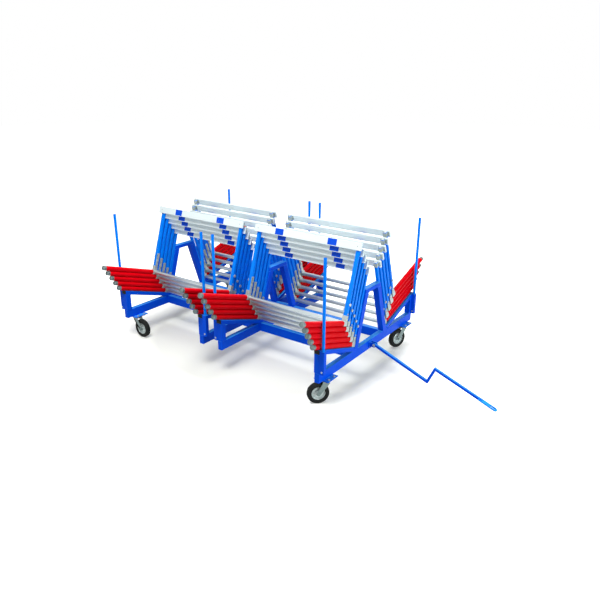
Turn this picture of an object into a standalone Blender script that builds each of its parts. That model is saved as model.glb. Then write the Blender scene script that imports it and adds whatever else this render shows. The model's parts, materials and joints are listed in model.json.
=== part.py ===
"""A hurdle cart: a welded steel frame on four swivel casters, with a drawbar and twenty track hurdles.

Run with: blender --background --python part.py

Metres, +Z up. The cart's long side runs along X, with the drawbar at the +X end. Four cross
frames stand across it: two at the ends and two in the middle. Between each end frame and its
neighbour two stacks of five hurdles lean back to back, one to the near side (-Y) and one to the
far side (+Y).
"""

import math

import bmesh
import bpy
from mathutils import Matrix, Vector

# Gaps between pieces
FACE_GAP = 0.0003
WELD_OVERLAP = 0.001

# Track hurdle
BOARD_LENGTH = 1.18
BOARD_OVERHANG = 0.040
BOARD_HEIGHT = 0.070
BOARD_THICKNESS = 0.020
HURDLE_HEIGHT = 0.740
FOOT_LENGTH = 0.684
FOOT_DIAMETER = 0.0483
CROSS_TUBE_DIAMETER = 0.040
UPRIGHT_WIDTH = 0.035
UPRIGHT_DEPTH = 0.035

# How the hurdles nest
HURDLES_IN_STACK = 5
NEST_FOOT_GAP = 0.0005
NEST_BOARD_GAP = 0.001
LEAN = math.radians(18.0)

# How far each stack was set down from the middle of its bay, along X
STACK_SHIFT = {"near_left": 0.010, "near_right": 0.002, "far_left": -0.008, "far_right": -0.010}

# Cross frames
MID_FRAME_X = 0.12
BEAM_LENGTH = 1.76
BEAM_WIDTH = 0.050
BEAM_HEIGHT = 0.090
FOOT_LEDGE = 0.00585
POST_DEPTH = 0.060
ARM_THICKNESS = 0.040
NOOK_RISE = 0.034
LEG_DEPTH = 0.060
LEG_FOOT_OUT = 0.309
A_FRAME_HEIGHT = 0.543
TOP_BAR_THICKNESS = 0.040
RAIL_WIDTH = 0.050

# Stake rods and their sockets
ROD_DIAMETER = 0.027
ROD_TOP = 1.361
ROD_CLEARANCE = 0.001
SOCKET_WALL = 0.0055
SOCKET_TOP_DROP = 0.008
STOP_BOLT_DIAMETER = 0.008
STOP_BOLT_RISE = 0.025
STOP_BOLT_HEAD = 0.004

# Swivel casters
WHEEL_DIAMETER = 0.200
WHEEL_WIDTH = 0.050
RIM_DIAMETER = 0.122
RIM_WIDTH = 0.038
RIM_RING = 0.008
WEB_THICKNESS = 0.008
HUB_DIAMETER = 0.036
HUB_SIDE_GAP = 0.0008
AXLE_DIAMETER = 0.012
AXLE_CLEARANCE = 0.0005
AXLE_NUT_DIAMETER = 0.022
AXLE_NUT_LENGTH = 0.009
FORK_SIDE_GAP = 0.005
FORK_LEG_THICKNESS = 0.004
FORK_BOSS_RADIUS = 0.019
CROWN_DIAMETER = 0.078
CROWN_THICKNESS = 0.014
CROWN_WHEEL_GAP = 0.009
RACE_DIAMETER = 0.064
RACE_THICKNESS = 0.014
CASTER_TRAIL = 0.068
TOP_PLATE_LENGTH = 0.135
TOP_PLATE_WIDTH = 0.110
TOP_PLATE_THICKNESS = 0.004
MOUNT_PLATE_X = 0.150
MOUNT_PLATE_Y = 0.160
MOUNT_PLATE_THICKNESS = 0.008
CASTER_Y = 0.733

# Drawbar and its bracket, on the middle plane
BAR_SIZE = 0.025
BAR_BORE_CLEARANCE = 0.0003
PIN_DIAMETER = 0.014
PIN_HEAD_DIAMETER = 0.024
PIN_HEAD_LENGTH = 0.008
PIN_STAND_OFF = 0.048
PIN_DROP = 0.041
LUG_THICKNESS = 0.008
LUG_RADIUS = 0.022
LUG_SIDE_GAP = 0.001
BRACKET_PLATE_THICKNESS = 0.008
BRACKET_PLATE_WIDTH = 0.080
BRACKET_PLATE_HEIGHT = 0.056
BAR_RUN_1 = 0.555
BAR_DROP_1 = 0.218
BAR_RUN_2 = 0.065
BAR_RISE_2 = 0.147
BAR_LENGTH_3 = 0.477
EYE_LENGTH = 0.150
EYE_WIDTH = 0.050
EYE_THICKNESS = 0.010
EYE_LAP = 0.030
SLOT_LENGTH = 0.054
SLOT_WIDTH = 0.018
SLOT_END_WALL = 0.016
TIP_FLOOR_GAP = 0.001

# Which way each caster trails, in degrees from +X
CASTERS = {
    "near_right": (1, -1, 226.0),
    "near_left": (-1, -1, 0.0),
    "far_right": (1, 1, -110.0),
    "far_left": (-1, 1, 15.0),
}

# Facets round a circle
ROUND_TUBE = 16
ROUND_SMALL = 12
ROUND_WHEEL = 32

# Heights worked out from the wheels up
AXLE_Z = WHEEL_DIAMETER / 2
CROWN_BOTTOM = WHEEL_DIAMETER + CROWN_WHEEL_GAP
CROWN_TOP = CROWN_BOTTOM + CROWN_THICKNESS
RACE_BOTTOM = CROWN_TOP + FACE_GAP
TOP_PLATE_BOTTOM = RACE_BOTTOM + RACE_THICKNESS
TOP_PLATE_TOP = TOP_PLATE_BOTTOM + TOP_PLATE_THICKNESS
BEAM_BOTTOM = TOP_PLATE_TOP + FACE_GAP + MOUNT_PLATE_THICKNESS
BEAM_TOP = BEAM_BOTTOM + BEAM_HEIGHT
BEAM_Z = BEAM_BOTTOM + BEAM_HEIGHT / 2

# The corner where an arm's top meets a leg's outer face
TAN, SIN, COS = math.tan(LEAN), math.sin(LEAN), math.cos(LEAN)
POST_OUT = BEAM_LENGTH / 2
NOOK_Y = LEG_FOOT_OUT - TAN * NOOK_RISE
NOOK_Z = BEAM_TOP + NOOK_RISE
ARM_TOP_OUT = NOOK_Z + TAN * (POST_OUT - NOOK_Y)

# Posts, arms and legs are as wide as a foot tube and a ledge on both sides of it
MEMBER_WIDTH = FOOT_DIAMETER + 2 * FOOT_LEDGE

# A hurdle's feet stand over the middle of the frames at both ends of its bay
UPRIGHT_SPACING = BOARD_LENGTH - 2 * BOARD_OVERHANG
END_FRAME_X = MID_FRAME_X + UPRIGHT_SPACING
BAY_X = (END_FRAME_X + MID_FRAME_X) / 2

# Frame name: its X, the side its sockets stand on, and whether casters carry it
FRAMES = {
    "left": (-END_FRAME_X, -1, True),
    "mid_left": (-MID_FRAME_X, 1, False),
    "mid_right": (MID_FRAME_X, -1, False),
    "right": (END_FRAME_X, 1, True),
}

# Rods and their sockets
SOCKET_SIZE = ROD_DIAMETER + 2 * (ROD_CLEARANCE + SOCKET_WALL)
SOCKET_TOP = ARM_TOP_OUT - SOCKET_TOP_DROP

# Step from one hurdle to the next, along its foot and along its upright
NEST_OUT = UPRIGHT_DEPTH + BOARD_THICKNESS + NEST_BOARD_GAP
NEST_UP = FOOT_DIAMETER + NEST_FOOT_GAP
BOARD_RISE = HURDLE_HEIGHT - FOOT_DIAMETER / 2 - BOARD_HEIGHT / 2

# The drawbar's last straight slopes down from its crank until the eye is just off the floor
PIN_X = END_FRAME_X + BEAM_WIDTH / 2 + PIN_STAND_OFF
PIN_Z = BEAM_TOP - PIN_DROP
CRANK_FALL = BAR_DROP_1 - BAR_RISE_2
EYE_FALL = PIN_Z - CRANK_FALL - EYE_THICKNESS / 2 - TIP_FLOOR_GAP
EYE_ANGLE = math.asin(EYE_FALL / (BAR_LENGTH_3 + EYE_LENGTH))
TIP_X = PIN_X + BAR_RUN_1 + BAR_RUN_2 + (BAR_LENGTH_3 + EYE_LENGTH) * math.cos(EYE_ANGLE)

# The model's origin is the middle of its box, on the floor
CART_MIN_X = -END_FRAME_X - MOUNT_PLATE_X / 2
CART_MAX_X = TIP_X + EYE_THICKNESS / 2 * math.sin(EYE_ANGLE)
CART = Vector((-(CART_MIN_X + CART_MAX_X) / 2, 0.0, 0.0))

# A local XY outline stood up across the cart (in YZ) or along it (in XZ)
ACROSS = Matrix(((0, 0, 1), (1, 0, 0), (0, 1, 0))).to_4x4()
ALONG = Matrix(((1, 0, 0), (0, 0, -1), (0, 1, 0))).to_4x4()


def clear_scene():
    """Empties the scene and its unused data."""
    for obj in list(bpy.data.objects):
        bpy.data.objects.remove(obj, do_unlink=True)
    for group in list(bpy.data.collections):
        bpy.data.collections.remove(group)


def make_collection(name):
    """A new collection in the scene."""
    group = bpy.data.collections.new(name)
    bpy.context.scene.collection.children.link(group)
    return group


def make_material(name, colour, roughness, metallic):
    """A Principled material with the piece's colour, roughness and metallic value."""
    material = bpy.data.materials.new(name)
    material.use_nodes = True
    shader = material.node_tree.nodes["Principled BSDF"]
    shader.inputs["Base Color"].default_value = (*colour, 1.0)
    shader.inputs["Roughness"].default_value = roughness
    shader.inputs["Metallic"].default_value = metallic
    return material


def new_object(name, mesh, group, material, location=(0, 0, 0)):
    """An object for mesh in group, with its material."""
    obj = bpy.data.objects.new(name, mesh)
    obj.location = location
    if not mesh.materials:
        mesh.materials.append(material)
    group.objects.link(obj)
    return obj


def mesh_from(bm, name):
    """Turns a bmesh into mesh data with its faces pointing out."""
    bmesh.ops.recalc_face_normals(bm, faces=bm.faces)
    mesh = bpy.data.meshes.new(name)
    bm.to_mesh(mesh)
    bm.free()
    return mesh


def box_mesh(name, low, high):
    """A box between two corners."""
    low, high = Vector(low), Vector(high)
    size = high - low
    bm = bmesh.new()
    bmesh.ops.create_cube(bm, size=1.0)
    bmesh.ops.scale(bm, vec=size, verts=bm.verts)
    bmesh.ops.translate(bm, vec=(low + high) / 2, verts=bm.verts)
    return mesh_from(bm, name)


def rod_mesh(name, start, end, diameter, segments=ROUND_TUBE):
    """A round bar from start to end."""
    start, end = Vector(start), Vector(end)
    run = end - start
    turn = run.to_track_quat("Z", "Y").to_matrix().to_4x4()
    bm = bmesh.new()
    bmesh.ops.create_cone(bm, cap_ends=True, segments=segments, radius1=diameter / 2,
                          radius2=diameter / 2, depth=run.length)
    bmesh.ops.transform(bm, matrix=Matrix.Translation((start + end) / 2) @ turn, verts=bm.verts)
    return mesh_from(bm, name)


def outline_mesh(name, loops, thickness, matrix):
    """A flat outline, with any holes as further loops, given a thickness and stood up by matrix."""
    curve = bpy.data.curves.new(name, "CURVE")
    curve.dimensions = "2D"
    curve.fill_mode = "BOTH"
    curve.extrude = thickness / 2
    for loop in loops:
        spline = curve.splines.new("POLY")
        spline.points.add(len(loop) - 1)
        for point, (x, y) in zip(spline.points, loop):
            point.co = (x, y, 0.0, 1.0)
        spline.use_cyclic_u = True
    sketch = bpy.data.objects.new(name, curve)
    bpy.context.scene.collection.objects.link(sketch)
    mesh = evaluated_mesh(sketch)
    bpy.data.objects.remove(sketch, do_unlink=True)
    bm = bmesh.new()
    bm.from_mesh(mesh)
    bmesh.ops.remove_doubles(bm, verts=bm.verts, dist=1e-6)
    bmesh.ops.transform(bm, matrix=matrix, verts=bm.verts)
    mesh.materials.clear()
    return mesh_from(bm, name)


def turned_mesh(name, profile, segments=ROUND_WHEEL):
    """A closed profile of (radius, y) points turned about the Y axis."""
    bm = bmesh.new()
    corners = [bm.verts.new((radius, y, 0.0)) for radius, y in profile]
    edges = [bm.edges.new((a, b)) for a, b in zip(corners, corners[1:] + corners[:1])]
    bmesh.ops.spin(bm, geom=corners + edges, cent=(0, 0, 0), axis=(0, 1, 0),
                   angle=math.tau, steps=segments, use_merge=True)
    bmesh.ops.remove_doubles(bm, verts=bm.verts, dist=1e-6)
    return mesh_from(bm, name)


def evaluated_mesh(obj):
    """The mesh of obj with its modifiers applied."""
    bpy.context.view_layer.update()
    shown = obj.evaluated_get(bpy.context.evaluated_depsgraph_get())
    return bpy.data.meshes.new_from_object(shown)


def cut_or_join(obj, tool_mesh, operation, tools):
    """Adds a Boolean to obj with a tool object of its own."""
    tool = bpy.data.objects.new(f"{obj.name}_{tool_mesh.name}", tool_mesh)
    tool.location = obj.location
    tool.rotation_euler = obj.rotation_euler
    tool.hide_render = True
    tool.display_type = "WIRE"
    tools.objects.link(tool)
    step = obj.modifiers.new(tool_mesh.name, "BOOLEAN")
    step.operation = operation
    step.solver = "EXACT"
    step.object = tool


def arc(centre, radius, start, end, steps):
    """Points along an arc, angles in degrees."""
    points = []
    for k in range(steps + 1):
        angle = math.radians(start + (end - start) * k / steps)
        points.append((centre[0] + radius * math.cos(angle), centre[1] + radius * math.sin(angle)))
    return points


def arm_top(y):
    """Height of an arm's top face at a distance y from the middle plane."""
    return NOOK_Z + TAN * (y - NOOK_Y)


def leg_out(z):
    """Distance of a leg's outer face from the middle plane at height z."""
    return NOOK_Y - TAN * (z - NOOK_Z)


def frame_outline():
    """The A-frame, arms and posts of a cross frame as one outline in (y, z), open at the beam."""
    foot_z = BEAM_TOP - WELD_OVERLAP
    top_z = BEAM_TOP + A_FRAME_HEIGHT
    under_z = top_z - TOP_BAR_THICKNESS
    leg_run = LEG_DEPTH / COS
    arm_fall = ARM_THICKNESS / COS
    post_in = POST_OUT - POST_DEPTH
    arm_lands = NOOK_Y + (foot_z + arm_fall - NOOK_Z) / TAN
    half = [
        (leg_out(top_z), top_z),
        (NOOK_Y, NOOK_Z),
        (POST_OUT, arm_top(POST_OUT)),
        (POST_OUT, foot_z),
        (post_in, foot_z),
        (post_in, arm_top(post_in) - arm_fall),
        (arm_lands, foot_z),
        (leg_out(foot_z) - leg_run, foot_z),
        (leg_out(under_z) - leg_run, under_z),
    ]
    return half + [(-y, z) for y, z in reversed(half)]


def socket_x(side):
    """The near and far faces of a socket from its frame's middle, in X order."""
    inner = MEMBER_WIDTH / 2
    return sorted((side * (inner - WELD_OVERLAP), side * (inner + SOCKET_SIZE)))


def rod_x(side):
    """A rod's distance from its frame's middle."""
    return side * (MEMBER_WIDTH / 2 + SOCKET_SIZE / 2)


def add_socket(frame, side, across, tools):
    """Joins a square socket with its stop bolt to a frame's post, and opens its bore."""
    out_y = across * POST_OUT
    in_y = across * (POST_OUT - SOCKET_SIZE)
    low_x, high_x = socket_x(side)
    low_y, high_y = sorted((out_y, in_y))
    name = "near" if across < 0 else "far"
    tube = box_mesh(f"{name}_socket", (low_x, low_y, BEAM_TOP), (high_x, high_y, SOCKET_TOP))
    cut_or_join(frame, tube, "UNION", tools)
    half = ROD_DIAMETER / 2 + ROD_CLEARANCE
    x, y = rod_x(side), across * (POST_OUT - SOCKET_SIZE / 2)
    past = SOCKET_SIZE
    bore = box_mesh(f"{name}_bore", (x - half, y - half, BEAM_TOP - past),
                    (x + half, y + half, SOCKET_TOP + past))
    cut_or_join(frame, bore, "DIFFERENCE", tools)
    bolt_z = BEAM_TOP + STOP_BOLT_RISE
    reach = SOCKET_SIZE / 2 + STOP_BOLT_HEAD
    inward = SOCKET_SIZE / 2 - WELD_OVERLAP
    ends = sorted((y + across * reach, y - across * inward))
    bolt = rod_mesh(f"{name}_stop_bolt", (x, ends[0], bolt_z), (x, ends[1], bolt_z),
                    STOP_BOLT_DIAMETER, ROUND_SMALL)
    cut_or_join(frame, bolt, "UNION", tools)


def build_frames(group, tools, blue):
    """The four welded cross frames."""
    for name, (x, side, on_casters) in FRAMES.items():
        beam = box_mesh(f"{name}_beam", (-BEAM_WIDTH / 2, -POST_OUT, BEAM_BOTTOM),
                        (BEAM_WIDTH / 2, POST_OUT, BEAM_TOP))
        frame = new_object(f"cross_frame_{name}", beam, group, blue, CART + Vector((x, 0, 0)))
        upper = outline_mesh("arms_and_a_frame", [frame_outline()], MEMBER_WIDTH, ACROSS)
        cut_or_join(frame, upper, "UNION", tools)
        for across in (-1, 1):
            add_socket(frame, side, across, tools)
            if on_casters:
                low = (-MOUNT_PLATE_X / 2, across * CASTER_Y - MOUNT_PLATE_Y / 2,
                       BEAM_BOTTOM - MOUNT_PLATE_THICKNESS)
                high = (MOUNT_PLATE_X / 2, across * CASTER_Y + MOUNT_PLATE_Y / 2,
                        BEAM_BOTTOM + WELD_OVERLAP)
                where = "near" if across < 0 else "far"
                cut_or_join(frame, box_mesh(f"{where}_mount_plate", low, high), "UNION", tools)


def build_rails(group, blue):
    """The rails that tie the cross frames together, just under the feet of the legs."""
    rail_y = LEG_FOOT_OUT - LEG_DEPTH / COS / 2
    rail_top = BEAM_TOP - WELD_OVERLAP - FACE_GAP
    half_beam = BEAM_WIDTH / 2
    spans = {
        "left": (-END_FRAME_X, -MID_FRAME_X),
        "middle": (-MID_FRAME_X, MID_FRAME_X),
        "right": (MID_FRAME_X, END_FRAME_X),
    }
    for where, across in (("near", -1), ("far", 1)):
        for span, (start, end) in spans.items():
            low = (start + half_beam + FACE_GAP, across * rail_y - RAIL_WIDTH / 2, BEAM_BOTTOM)
            high = (end - half_beam - FACE_GAP, across * rail_y + RAIL_WIDTH / 2, rail_top)
            mesh = box_mesh("rail", low, high)
            new_object(f"rail_{where}_{span}", mesh, group, blue, CART)


def build_rods(group, blue):
    """The round stake rods, each standing on its socket's stop bolt."""
    foot = BEAM_TOP + STOP_BOLT_RISE + STOP_BOLT_DIAMETER / 2 + FACE_GAP
    mesh = rod_mesh("stake_rod", (0, 0, 0), (0, 0, ROD_TOP - foot), ROD_DIAMETER)
    for frame, (x, side, _) in FRAMES.items():
        for where, across in (("near", -1), ("far", 1)):
            place = Vector((x + rod_x(side), across * (POST_OUT - SOCKET_SIZE / 2), foot))
            new_object(f"stake_rod_{where}_{frame}", mesh, group, blue, CART + place)


def hurdle_mesh(tools, paint):
    """One hurdle as a single solid: its corner line at the origin, feet along -Y, uprights along +Z."""
    half = UPRIGHT_SPACING / 2
    back = UPRIGHT_DEPTH / 2
    set_out = CROSS_TUBE_DIAMETER / 2 - back
    board_top = BOARD_RISE + BOARD_HEIGHT / 2
    cross = rod_mesh("cross_tube", (-half, -set_out, 0), (half, -set_out, 0), CROSS_TUBE_DIAMETER)
    sketch = new_object("hurdle_sketch", cross, tools, paint)
    for name, side in (("left", -1), ("right", 1)):
        x = side * half
        foot = rod_mesh(f"{name}_foot", (x, back, 0), (x, -FOOT_LENGTH, 0), FOOT_DIAMETER)
        cut_or_join(sketch, foot, "UNION", tools)
        upright = box_mesh(f"{name}_upright", (x - UPRIGHT_WIDTH / 2, -back, 0),
                           (x + UPRIGHT_WIDTH / 2, back, board_top - WELD_OVERLAP))
        cut_or_join(sketch, upright, "UNION", tools)
    board = box_mesh("board", (-BOARD_LENGTH / 2, -back - BOARD_THICKNESS, BOARD_RISE - BOARD_HEIGHT / 2),
                     (BOARD_LENGTH / 2, -back + WELD_OVERLAP, board_top))
    cut_or_join(sketch, board, "UNION", tools)
    mesh = evaluated_mesh(sketch)
    mesh.name = "hurdle"
    for tool in list(tools.objects):
        if tool.name.startswith("hurdle_sketch"):
            bpy.data.objects.remove(tool, do_unlink=True)
    return mesh


def hurdle_place(across, rank):
    """Where the corner line of a stack's hurdle lies; rank 0 is the lowest."""
    out = UPRIGHT_DEPTH / 2 + FACE_GAP + rank * NEST_OUT
    up = FOOT_DIAMETER / 2 + FACE_GAP + rank * NEST_UP
    y = NOOK_Y + out * COS - up * SIN
    z = NOOK_Z + out * SIN + up * COS
    return Vector((0, across * y, z))


def build_hurdles(group, tools, paint):
    """Four stacks of nested hurdles."""
    mesh = hurdle_mesh(tools, paint)
    for half, side in (("left", -1), ("right", 1)):
        for where, across in (("near", -1), ("far", 1)):
            for rank in range(HURDLES_IN_STACK):
                stack = Vector((side * BAY_X + STACK_SHIFT[f"{where}_{half}"], 0, 0))
                place = CART + stack + hurdle_place(across, rank)
                hurdle = new_object(f"hurdle_{where}_{half}_{rank + 1}", mesh, group, paint, place)
                hurdle.rotation_euler = (-LEAN, 0, math.pi if across > 0 else 0)


def tyre_profile():
    """The tyre's section as (radius, y)."""
    outer, inner = WHEEL_DIAMETER / 2, RIM_DIAMETER / 2
    wide, bead = WHEEL_WIDTH / 2, RIM_WIDTH / 2
    wall = outer - inner
    side = [
        (inner, bead),
        (inner + 0.35 * wall, wide),
        (outer - 0.30 * wall, wide),
        (outer - 0.06 * wall, 0.74 * wide),
        (outer, 0.40 * wide),
    ]
    return side + [(radius, -y) for radius, y in reversed(side)]


def rim_profile():
    """The rim's section as (radius, y): hub, web and ring."""
    bore = AXLE_DIAMETER / 2 + AXLE_CLEARANCE
    hub, hub_half = HUB_DIAMETER / 2, WHEEL_WIDTH / 2 + FORK_SIDE_GAP - HUB_SIDE_GAP
    ring_out = RIM_DIAMETER / 2 - FACE_GAP
    ring_in = ring_out - RIM_RING
    web, bead = WEB_THICKNESS / 2, RIM_WIDTH / 2
    side = [(bore, hub_half), (hub, hub_half), (hub, web), (ring_in, web), (ring_in, bead), (ring_out, bead)]
    return side + [(radius, -y) for radius, y in reversed(side)]


def fork_leg_outline():
    """A fork leg's side view in (trail, z)."""
    half_crown = CROWN_DIAMETER / 2 * 0.82
    top = CROWN_TOP - WELD_OVERLAP
    neck = CROWN_BOTTOM - CROWN_THICKNESS
    boss = arc((CASTER_TRAIL, AXLE_Z), FORK_BOSS_RADIUS, 20, -160, 8)
    return [(-half_crown, top), (half_crown, top), (half_crown, neck)] + boss + [(-half_crown, neck)]


def build_fork_mesh(tools, steel):
    """Crown, two legs and the axle of a caster fork, trailing along +X from its swivel axis."""
    crown = rod_mesh("crown", (0, 0, CROWN_BOTTOM), (0, 0, CROWN_TOP), CROWN_DIAMETER, ROUND_WHEEL)
    sketch = new_object("fork_sketch", crown, tools, steel)
    leg_y = WHEEL_WIDTH / 2 + FORK_SIDE_GAP + FORK_LEG_THICKNESS / 2
    for name, side in (("near_leg", -1), ("far_leg", 1)):
        leg = outline_mesh(name, [fork_leg_outline()], FORK_LEG_THICKNESS,
                           Matrix.Translation((0, side * leg_y, 0)) @ ALONG)
        cut_or_join(sketch, leg, "UNION", tools)
        face = side * (leg_y + FORK_LEG_THICKNESS / 2 - WELD_OVERLAP)
        nut = rod_mesh(f"{name}_nut", (CASTER_TRAIL, face, AXLE_Z),
                       (CASTER_TRAIL, face + side * AXLE_NUT_LENGTH, AXLE_Z), AXLE_NUT_DIAMETER, ROUND_SMALL)
        cut_or_join(sketch, nut, "UNION", tools)
    axle = rod_mesh("axle", (CASTER_TRAIL, -leg_y, AXLE_Z), (CASTER_TRAIL, leg_y, AXLE_Z),
                    AXLE_DIAMETER, ROUND_SMALL)
    cut_or_join(sketch, axle, "UNION", tools)
    mesh = evaluated_mesh(sketch)
    mesh.name = "caster_fork"
    for tool in list(tools.objects):
        if tool.name.startswith("fork_sketch"):
            bpy.data.objects.remove(tool, do_unlink=True)
    return mesh


def build_casters(group, tools, steel, rubber):
    """Four swivel casters: a fixed top plate with its race, a fork, a tyre and a rim each."""
    fork_mesh = build_fork_mesh(tools, steel)
    tyre_mesh = turned_mesh("caster_tyre", tyre_profile())
    rim_mesh = turned_mesh("caster_rim", rim_profile())
    for name, (side, across, trail) in CASTERS.items():
        swivel = CART + Vector((side * END_FRAME_X, across * CASTER_Y, 0))
        low = (-TOP_PLATE_LENGTH / 2, -TOP_PLATE_WIDTH / 2, TOP_PLATE_BOTTOM)
        high = (TOP_PLATE_LENGTH / 2, TOP_PLATE_WIDTH / 2, TOP_PLATE_TOP)
        plate = new_object(f"caster_plate_{name}", box_mesh("top_plate", low, high), group, steel, swivel)
        race = rod_mesh("race", (0, 0, RACE_BOTTOM), (0, 0, TOP_PLATE_BOTTOM + WELD_OVERLAP),
                        RACE_DIAMETER, ROUND_WHEEL)
        cut_or_join(plate, race, "UNION", tools)
        turn = math.radians(trail)
        fork = new_object(f"caster_fork_{name}", fork_mesh, group, steel, swivel)
        fork.rotation_euler.z = turn
        hub = swivel + Vector((CASTER_TRAIL * math.cos(turn), CASTER_TRAIL * math.sin(turn), AXLE_Z))
        for piece, mesh, finish in (("tyre", tyre_mesh, rubber), ("rim", rim_mesh, steel)):
            wheel = new_object(f"caster_{piece}_{name}", mesh, group, finish, hub)
            wheel.rotation_euler.z = turn


def bar_centreline():
    """The drawbar's centreline in (x, z) from its pin: down, up at the crank, down again."""
    crank_x = BAR_RUN_1 + BAR_RUN_2
    end_x = crank_x + BAR_LENGTH_3 * math.cos(EYE_ANGLE)
    end_z = -CRANK_FALL - BAR_LENGTH_3 * math.sin(EYE_ANGLE)
    return [(0.0, 0.0), (BAR_RUN_1, -BAR_DROP_1), (crank_x, -CRANK_FALL), (end_x, end_z)]


def offset_line(points, distance):
    """An open line moved sideways by distance, with mitred corners."""
    lines = []
    for (x0, z0), (x1, z1) in zip(points, points[1:]):
        run = Vector((x1 - x0, z1 - z0)).normalized()
        lines.append((Vector((x0, z0)) + distance * Vector((-run.y, run.x)), run))
    moved = [lines[0][0]]
    for (a, u), (b, v) in zip(lines, lines[1:]):
        step = (b - a).cross(v) / u.cross(v)
        moved.append(a + step * u)
    last_start, last_run = lines[-1]
    length = (Vector(points[-1]) - Vector(points[-2])).length
    moved.append(last_start + last_run * length)
    return [tuple(p) for p in moved]


def build_drawbar(group, tools, blue):
    """The cranked square drawbar with its pin bore and its slotted flat eye."""
    line = bar_centreline()
    first_angle = math.degrees(math.atan2(line[1][1], line[1][0]))
    upper = offset_line(line, BAR_SIZE / 2)
    lower = offset_line(line, -BAR_SIZE / 2)
    nose = arc((0, 0), BAR_SIZE / 2, first_angle + 90, first_angle + 270, 8)[1:-1]
    bore = arc((0, 0), PIN_DIAMETER / 2 + BAR_BORE_CLEARANCE, 0, 330, 11)
    outline = upper + lower[::-1] + nose[::-1]
    body = outline_mesh("bar", [outline, bore], BAR_SIZE, ALONG)
    bar = new_object("drawbar", body, group, blue, CART + Vector((PIN_X, 0, PIN_Z)))
    half = EYE_WIDTH / 2
    length = EYE_LENGTH + EYE_LAP
    tip_arc = arc((length - half, 0), half, -90, 90, 8)
    slot_out = length - SLOT_END_WALL - SLOT_WIDTH / 2
    slot_in = slot_out - SLOT_LENGTH + SLOT_WIDTH
    slot = arc((slot_out, 0), SLOT_WIDTH / 2, -90, 90, 6) + arc((slot_in, 0), SLOT_WIDTH / 2, 90, 270, 6)
    end_x, end_z = line[-1]
    start_x = end_x - EYE_LAP * math.cos(EYE_ANGLE)
    start_z = end_z + EYE_LAP * math.sin(EYE_ANGLE)
    lie = Matrix.Translation((start_x, 0, start_z)) @ Matrix.Rotation(EYE_ANGLE, 4, "Y")
    eye = outline_mesh("eye", [[(0, -half)] + tip_arc + [(0, half)], slot], EYE_THICKNESS, lie)
    cut_or_join(bar, eye, "UNION", tools)


def build_bracket(group, tools, blue, steel):
    """The bracket on the right cross frame: a plate and two lugs, and the pin through them."""
    base_x = END_FRAME_X + BEAM_WIDTH / 2 + FACE_GAP
    plate_mid = BEAM_TOP - PIN_DROP
    low = (base_x, -BRACKET_PLATE_WIDTH / 2, plate_mid - BRACKET_PLATE_HEIGHT / 2)
    high = (base_x + BRACKET_PLATE_THICKNESS, BRACKET_PLATE_WIDTH / 2, plate_mid + BRACKET_PLATE_HEIGHT / 2)
    bracket = new_object("drawbar_bracket", box_mesh("bracket_plate", low, high), group, blue, CART)
    lug_y = BAR_SIZE / 2 + LUG_SIDE_GAP + LUG_THICKNESS / 2
    root_x = base_x + BRACKET_PLATE_THICKNESS - WELD_OVERLAP
    nose = arc((PIN_X, PIN_Z), LUG_RADIUS, -90, 90, 8)
    hole = arc((PIN_X, PIN_Z), PIN_DIAMETER / 2 + BAR_BORE_CLEARANCE, 0, 330, 11)
    outline = [(root_x, PIN_Z - LUG_RADIUS)] + nose + [(root_x, PIN_Z + LUG_RADIUS)]
    for name, side in (("near_lug", -1), ("far_lug", 1)):
        lug = outline_mesh(name, [outline, hole], LUG_THICKNESS,
                           Matrix.Translation((0, side * lug_y, 0)) @ ALONG)
        cut_or_join(bracket, lug, "UNION", tools)
    reach = lug_y + LUG_THICKNESS / 2 + FACE_GAP
    shank_end = reach + PIN_HEAD_LENGTH / 2
    shank = rod_mesh("pin_shank", (0, -shank_end, 0), (0, shank_end, 0), PIN_DIAMETER, ROUND_SMALL)
    pin = new_object("drawbar_pin", shank, group, steel, CART + Vector((PIN_X, 0, PIN_Z)))
    for name, side in (("head", -1), ("nut", 1)):
        head = rod_mesh(name, (0, side * reach, 0), (0, side * (reach + PIN_HEAD_LENGTH), 0),
                        PIN_HEAD_DIAMETER, 6)
        cut_or_join(pin, head, "UNION", tools)


def main():
    clear_scene()
    cart = make_collection("hurdle_cart")
    tools = make_collection("cutters")
    blue = make_material("blue_paint", (0.0, 0.13, 0.75), 0.35, 0.1)
    steel = make_material("zinc_steel", (0.55, 0.57, 0.56), 0.4, 0.9)
    rubber = make_material("black_rubber", (0.015, 0.015, 0.015), 0.8, 0.0)
    hurdle_paint = make_material("hurdle_finish", (0.80, 0.80, 0.78), 0.4, 0.2)
    build_frames(cart, tools, blue)
    build_rails(cart, blue)
    build_rods(cart, blue)
    build_casters(cart, tools, steel, rubber)
    build_bracket(cart, tools, blue, steel)
    build_drawbar(cart, tools, blue)
    build_hurdles(cart, tools, hurdle_paint)


main()
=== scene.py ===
"""The looks of a hurdle cart: a blue frame on swivel casters, its drawbar and twenty hurdles."""

import json
import logging
import math
from dataclasses import dataclass
from enum import Enum
from typing import Callable, Optional, Sequence

import bmesh
import bpy
from mathutils import Matrix, Vector

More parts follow.
